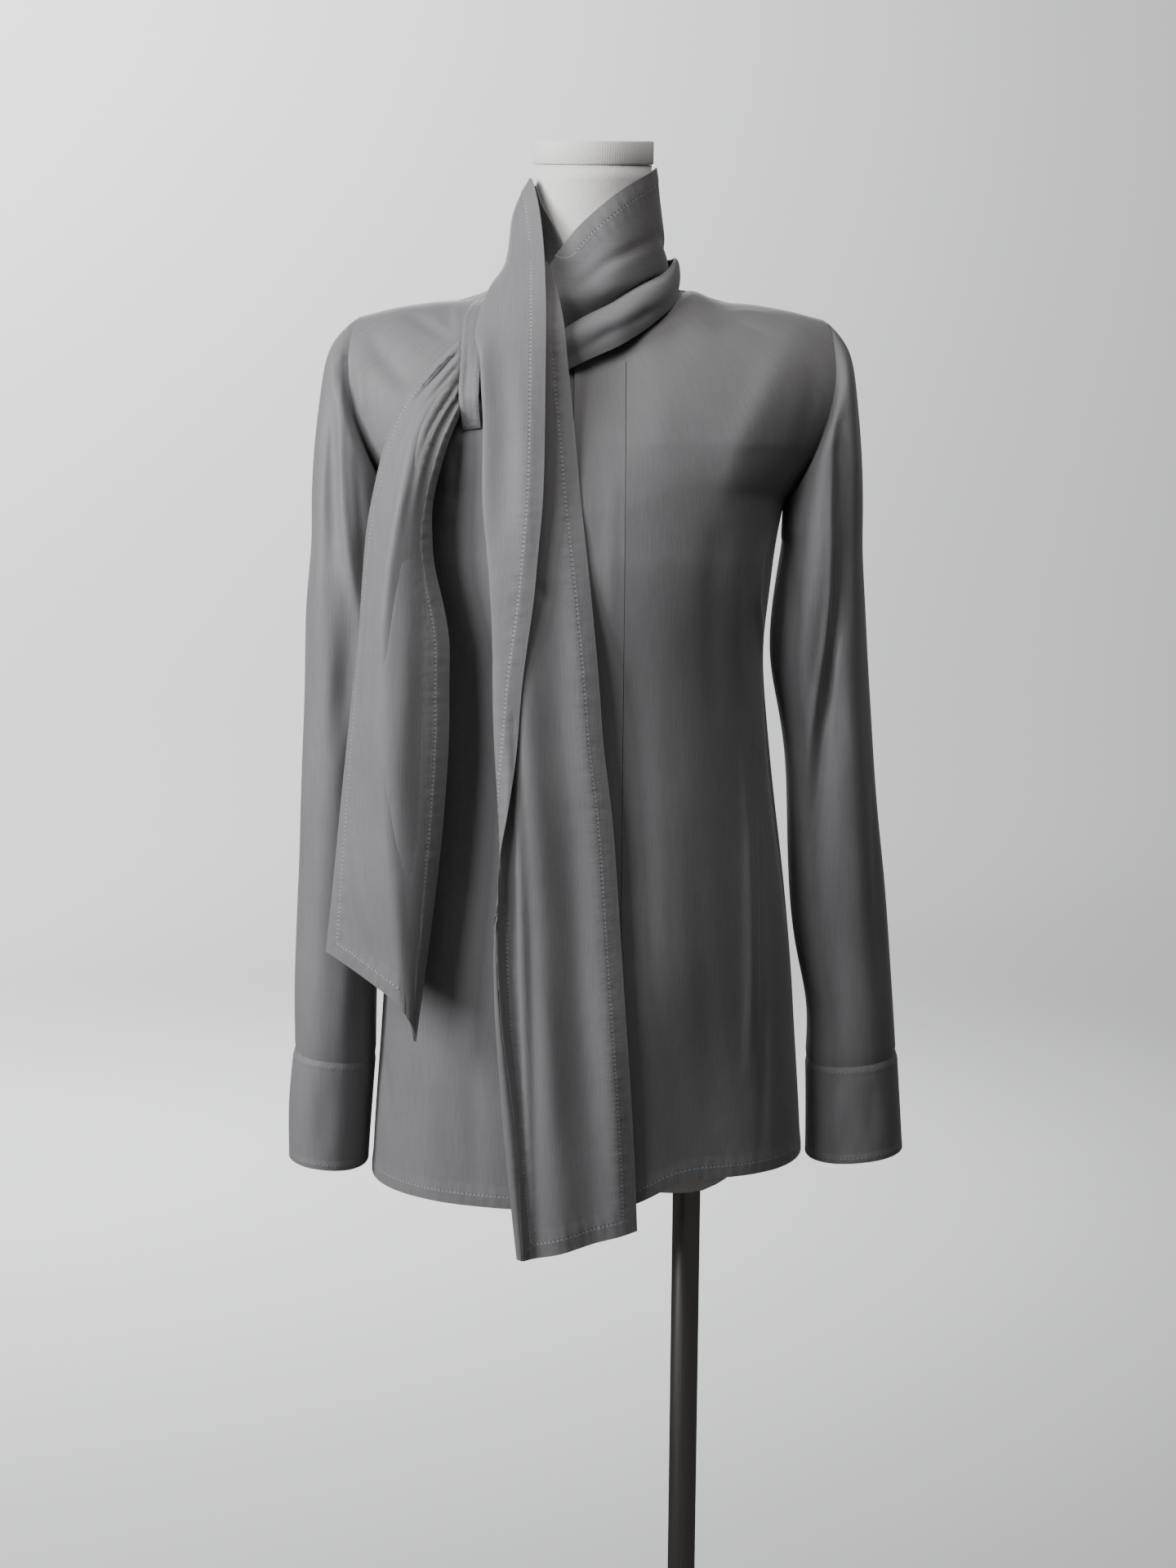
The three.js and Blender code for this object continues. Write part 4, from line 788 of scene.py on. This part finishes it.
LEFT_SLEEVE_FOLDS = [
    (
        [(177, -59, 1270), (177, -61, 1258), (177, -66, 1211), (177, -64, 1163), (174, -61, 1121),
         (169, -59, 1084), (166, -53, 1050), (164, -45, 1005)],
        -3.2, 5, 3,
    ),
    (
        [(182, -54, 1282), (181, -59, 1258), (181, -62, 1211), (182, -61, 1163), (180, -59, 1121),
         (177, -58, 1084), (174, -55, 1047), (171, -49, 1000), (169, -44, 952)],
        5.5, 4, 5,
    ),
    ([(189, -37, 1324), (192, -48, 1282), (196, -50, 1235)], -1.4, 6, 8),
    ([(149, -34, 1210), (151, -51, 1162), (154, -56, 1114)], 1.8, 7, 7),
    ([(194, -57, 1139), (200, -55, 1053), (204, -54, 967), (209, -51, 878)], -1.8, 10, 10),
    ([(215, -37, 1014), (220, -41, 927), (226, -42, 845)], 1.8, 7, 8),
    ([(185, -53, 916), (190, -48, 852), (195, -46, 801)], 1.8, 9, 9),
    ([(176, 57, 1220), (182, 54, 1120)], 3.0, 9, 9),
    ([(198, 37, 1240), (204, 32, 1140), (208, 36, 1040)], -2.0, 8, 8),
    ([(182, 52, 1064), (196, 48, 1046), (212, 30, 1036)], 2.4, 5, 6),
    ([(182, 50, 1036), (198, 47, 1020), (214, 30, 1012)], 2.0, 5, 5),
    ([(190, 48, 1000), (198, 44, 920), (204, 40, 840)], -1.8, 8, 8),
    ([(216, 30, 980), (222, 31, 900), (226, 32, 826)], 1.8, 7, 7),
    ([(205, 2, 1230), (210, 6, 1120), (219, 4, 1020)], 1.6, 9, 9),
]
left_sleeve = cloth_piece(
    "left_sleeve", "sleeve_left", (0, -1, 0), LEFT_SLEEVE_FOLDS,
    round_arm, straight_up, HEM_TURN, unsewn,
    tucks=[(at_armhole, (-0.0025, 0, 0), 0.0008), (at_wrist, (0, 0, -0.004), 0.0012)],
)

RIGHT_SLEEVE_FOLDS = [
    (
        [(-184, -39, 1320), (-184, -46, 1305), (-183, -56, 1275), (-182, -61, 1244), (-180, -64, 1214),
         (-175, -65, 1172), (-170, -63, 1136)],
        -3.4, 3.5, 5,
    ),
    (
        [(-190, -34, 1328), (-192, -49, 1297), (-192, -54, 1267), (-190, -58, 1232), (-186, -60, 1184)],
        4.2, 8, 8,
    ),
    ([(-189, -31, 1332), (-186, -34, 1329), (-183, -36, 1325)], -1.2, 3, 3),
    ([(-173, -57, 1267), (-169, -63, 1232), (-166, -64, 1184), (-162, -62, 1136)], 3.0, 6, 6),
    ([(-196, -56, 1220), (-199, -56, 1172), (-201, -55, 1111), (-202, -54, 1050)], -1.6, 8, 8),
    ([(-180, -60, 1150), (-184, -59, 1051), (-186, -57, 989), (-188, -54, 880)], 0.8, 11, 11),
    ([(-206, -50, 1013), (-209, -48, 937), (-210, -46, 861), (-211, -43, 809)], 1.2, 7, 8),
    ([(-179, -49, 900), (-183, -48, 849), (-186, -46, 804)], -1.4, 8, 8),
    ([(-176, 57, 1220), (-180, 55, 1120)], 3.0, 9, 9),
    ([(-196, 47, 1240), (-200, 46, 1140), (-202, 43, 1040)], -2.0, 8, 8),
    ([(-178, 51, 1060), (-190, 49, 1040), (-204, 42, 1030)], 2.4, 5, 6),
    ([(-176, 48, 1030), (-190, 48, 1012), (-208, 38, 1006)], 2.0, 5, 5),
    ([(-180, 47, 1000), (-184, 43, 920), (-188, 39, 840)], -1.8, 8, 8),
    ([(-204, 42, 980), (-208, 38, 900), (-208, 36, 826)], 1.8, 7, 7),
    ([(-209, 2, 1230), (-215, 6, 1120), (-219, 4, 1020)], 1.6, 9, 9),
    ([(-222, -6, 960), (-225, -4, 880), (-227, -8, 810)], -1.4, 9, 9),
]
right_sleeve = cloth_piece(
    "right_sleeve", "sleeve_right", (0, -1, 0), RIGHT_SLEEVE_FOLDS,
    round_arm, straight_up, HEM_TURN, unsewn,
    tucks=[(at_armhole, (0.0025, 0, 0), 0.0008), (at_wrist, (0, 0, -0.004), 0.0012)],
)


# The cuffs: bands of doubled cloth, sewn to the sleeve and stitched all round near both edges.
CUFF_TURN = 0.004
CUFF_TOP_FROM = 0.78


def at_cuff_top(point):
    return point.z > CUFF_TOP_FROM


LEFT_CUFF_FOLDS = [
    ([(196, -46, 781), (194, -44, 755), (191, -42, 727)], -1.2, 7, 7),
    ([(218, -46, 785), (220, -46, 762), (223, -46, 738)], 1.4, 8, 8),
    ([(212, 37, 795), (214, 37, 760), (216, 37, 722)], 1.4, 8, 8),
]
left_cuff = cloth_piece(
    "left_cuff", "cuff_left", (0, -1, 0), LEFT_CUFF_FOLDS,
    round_arm, straight_up, CUFF_TURN, sewn_all_round,
    tucks=[(at_cuff_top, (0, 0, 0), 0.001)],
)

RIGHT_CUFF_FOLDS = [
    ([(-200, -47, 778), (-201, -48, 753), (-202, -48, 727)], 1.2, 8, 8),
    ([(-196, 37, 795), (-198, 38, 760), (-200, 38, 722)], 1.4, 8, 8),
]
right_cuff = cloth_piece(
    "right_cuff", "cuff_right", (0, -1, 0), RIGHT_CUFF_FOLDS,
    round_arm, straight_up, CUFF_TURN, sewn_all_round,
    tucks=[(at_cuff_top, (0, 0, 0), 0.001)],
)


# The scarf collar: one long strip of the same cloth, hemmed along its edges. Its foot is a roll sewn into
# the neckline, and above it the strip winds round the neck in an inner and an outer turn.
SCARF_TURN = 0.011
NECK_ROUND = 0.05
WRAP_TOP_FROM = 1.41
WRAP_FOOT_BELOW = 1.4


def round_neck(point):
    return math.atan2(point.x, -point.y) * NECK_ROUND


def at_wrap_top(a, b):
    return a.z > WRAP_TOP_FROM


def at_wrap_foot(point):
    return point.z < WRAP_FOOT_BELOW and point.y < 0.02


ROLL_FOLDS = [
    ([(-14, -81, 1329), (12, -79, 1345), (39, -67, 1359), (62, -29, 1381)], 1.6, 4, 4),
]
roll = cloth_piece(
    "neck_roll", "scarf_neck_roll", (1, 0, 0), ROLL_FOLDS,
    straight_up, round_neck, SCARF_TURN, unsewn,
)

stand = cloth_piece(
    "neck_stand", "scarf_neck_stand", (-1, 0, 0), [],
    straight_up, round_neck, SCARF_TURN, unsewn,
)

WRAP_FOLDS = [
    ([(-14, -60, 1376), (9, -56, 1395), (30, -46, 1407), (49, -22, 1419)], 2.2, 4, 4),
    ([(-40, 45, 1400), (-10, 58, 1410), (30, 47, 1420)], 1.8, 6, 6),
    ([(-36, 40, 1425), (0, 52, 1434), (34, 35, 1446)], -1.4, 5, 5),
    ([(49, -20, 1420), (55, 10, 1410), (47, 36, 1400)], 1.6, 5, 5),
    ([(48, -20, 1420), (55, 10, 1405)], 1.4, 5, 5),
]
wrap = cloth_piece(
    "neck_wrap", "scarf_neck_wrap", (1, 0, 0), WRAP_FOLDS,
    straight_up, round_neck, SCARF_TURN, at_wrap_top,
    tucks=[(at_wrap_foot, (0, 0, -0.003), 0.0015)],
)

crossing = cloth_piece(
    "scarf_cross", "scarf_crossing", (0, -1, 0), [],
    straight_up, round_neck, SCARF_TURN, unsewn,
)


# The keeper: a narrow strap on the right front, stitched down at both ends and along both edges.
KEEPER_TURN = 0.0025
KEEPER_FOLDS = [
    ([(-89, -78, 1337), (-89, -88, 1317), (-90, -95, 1296)], 0.7, 3, 3),
]
keeper = cloth_piece(
    "keeper_strap", "keeper_loop", (0, -1, 0), KEEPER_FOLDS,
    round_body, straight_up, KEEPER_TURN, sewn_all_round,
)


# The scarf's two hanging ends. The short one is gathered into pleats where it leaves the keeper, and the
# long one is folded lengthwise, with its hemmed edge in front and its second layer behind.
def sideways(point):
    return point.x


SHORT_END_FOLDS = [
    (
        [(-95, -80, 1321), (-113, -93, 1298), (-125, -110, 1271), (-134, -125, 1223), (-141, -130, 1181),
         (-147, -133, 1119)],
        -1.8, 3.5, 5,
    ),
    ([(-98, -87, 1308), (-109, -97, 1295), (-118, -109, 1276), (-125, -121, 1244)], 1.4, 4, 4),
    ([(-153, -101, 1209), (-158, -109, 1151), (-161, -113, 1081), (-166, -110, 1021)], 1.2, 8, 8),
    ([(-128, -130, 1176), (-131, -134, 1106), (-134, -136, 1037), (-133, -137, 966)], 2.0, 9, 9),
    ([(-146, -135, 1025), (-144, -135, 966), (-135, -137, 906), (-129, -135, 864)], -1.6, 8, 8),
    ([(-173, -101, 990), (-166, -111, 943), (-154, -122, 897)], 1.2, 8, 8),
]
short_end = cloth_piece(
    "short_scarf_end", "scarf_short_end", (0, -1, 0), SHORT_END_FOLDS,
    sideways, straight_up, SCARF_TURN, sewn_all_round,
)

LONG_END_FOLDS = [
    (
        [(-66, -82, 1360), (-64, -107, 1313), (-62, -116, 1268), (-63, -123, 1222), (-67, -126, 1182)],
        3.2, 10, 12,
    ),
    ([(-75, -93, 1342), (-76, -107, 1290)], -1.6, 4, 5),
    ([(-48, -111, 1302), (-47, -119, 1256), (-46, -127, 1211), (-48, -130, 1165)], -1.2, 7, 6),
    ([(-39, -131, 1169), (-34, -124, 1162), (-27, -124, 1152)], -1.4, 5, 5),
    ([(-54, -131, 1142), (-50, -133, 1084), (-42, -132, 1013), (-35, -131, 942)], 1.6, 12, 12),
    ([(-67, -126, 1118), (-63, -128, 1060), (-56, -127, 995)], -1.8, 8, 10),
    ([(-12, -127, 1001), (-7, -127, 924), (-3, -127, 845), (2, -126, 759)], -2.0, 12, 12),
    ([(-32, -131, 894), (-28, -131, 821), (-24, -131, 748)], 1.6, 9, 9),
    ([(16, -128, 857), (20, -127, 796), (25, -124, 715)], 1.4, 8, 8),
    (
        [(-54, -133, 1072), (-50, -129, 1001), (-46, -129, 881), (-42, -127, 771), (-38, -128, 660)],
        3.2, 2.6, 3.2,
    ),
    ([(-43, -132, 1001), (-39, -131, 882), (-34, -129, 759)], -1.2, 4, 6),
]
long_end = cloth_piece(
    "long_scarf_end", "scarf_long_end", (-1, 0, 0), LONG_END_FOLDS,
    sideways, straight_up, SCARF_TURN, sewn_all_round,
)


# The room: a plain pale floor that curves up into a wall all round, and the camera at chest height.
# Light comes from two windows at the wearer's right, from above and from behind, and a lamp lights the wall.
CAMERA_DROP = 7.9
CAMERA_LEAN = 0.46


def studio_white():
    finish, _, shader = new_finish("studio_white")
    shader.inputs["Base Color"].default_value = (0.72, 0.73, 0.72, 1)
    shader.inputs["Roughness"].default_value = 0.9
    return finish


room_profile = [(0, -0.001), (3.4, -0.001), (3.9, 0.06), (4.3, 0.3), (4.5, 0.8), (4.6, 1.6), (4.6, 3.4)]
room = turned(room_profile, Vector((0, 0, 0)), 48)
bmesh.ops.reverse_faces(room, faces=room.faces)
mesh = bpy.data.meshes.new("studio_floor")
room.to_mesh(mesh)
room.free()
mesh.shade_smooth()
mesh.materials.append(studio_white())
floor = bpy.data.objects.new("studio_floor", mesh)
bpy.context.scene.collection.objects.link(floor)
rounding = floor.modifiers.new("rounding", "SUBSURF")
rounding.levels = rounding.render_levels = 2
floor.visible_diffuse = False
floor.visible_glossy = False
floor.visible_shadow = False


def soft_light(name, place, aim, width, height, power, colour):
    lamp = bpy.data.lights.new(name, "AREA")
    lamp.shape = "RECTANGLE"
    lamp.size = width
    lamp.size_y = height
    lamp.energy = power
    lamp.color = colour
    light = bpy.data.objects.new(name, lamp)
    bpy.context.scene.collection.objects.link(light)
    light.visible_camera = False
    light.location = place
    light.rotation_euler = (Vector(aim) - Vector(place)).to_track_quat("-Z", "Y").to_euler()


soft_light("window", (-1.45, -0.68, 1.72), (0, 0, 1.15), 0.55, 1.0, 38, (0.97, 0.98, 1.0))
soft_light("second_window", (-0.95, -1.05, 1.75), (0, 0, 1.15), 0.45, 0.9, 11, (0.97, 0.98, 1.0))
soft_light("ceiling", (0.25, -0.8, 3.0), (0, 0, 1.3), 1.4, 1.0, 20, (1.0, 0.97, 0.95))
soft_light("back_window", (-0.4, 2.7, 2.2), (0, 0, 1.05), 1.8, 1.4, 75, (0.97, 0.98, 1.0))
soft_light("wall_wash", (-1.8, 1.4, 3.1), (-2.8, 4.6, 1.6), 3.0, 1.0, 380, (0.98, 0.99, 1.0))
world = bpy.data.worlds.new("room_light")
bpy.context.scene.world = world
world.use_nodes = True
world.node_tree.nodes["Background"].inputs["Color"].default_value = (0.9, 0.85, 0.84, 1)
world.node_tree.nodes["Background"].inputs["Strength"].default_value = 0.07

lens = bpy.data.cameras.new("camera")
lens.lens = 52.5
lens.sensor_width = 36
camera = bpy.data.objects.new("camera", lens)
bpy.context.scene.collection.objects.link(camera)
camera.location = (0, -1.75, 1.25)
tilt = Matrix.Rotation(math.radians(90 - CAMERA_DROP), 4, "X")
lean = Matrix.Rotation(math.radians(CAMERA_LEAN), 4, "Z")
camera.rotation_euler = (tilt @ lean).to_euler()
bpy.context.scene.camera = camera
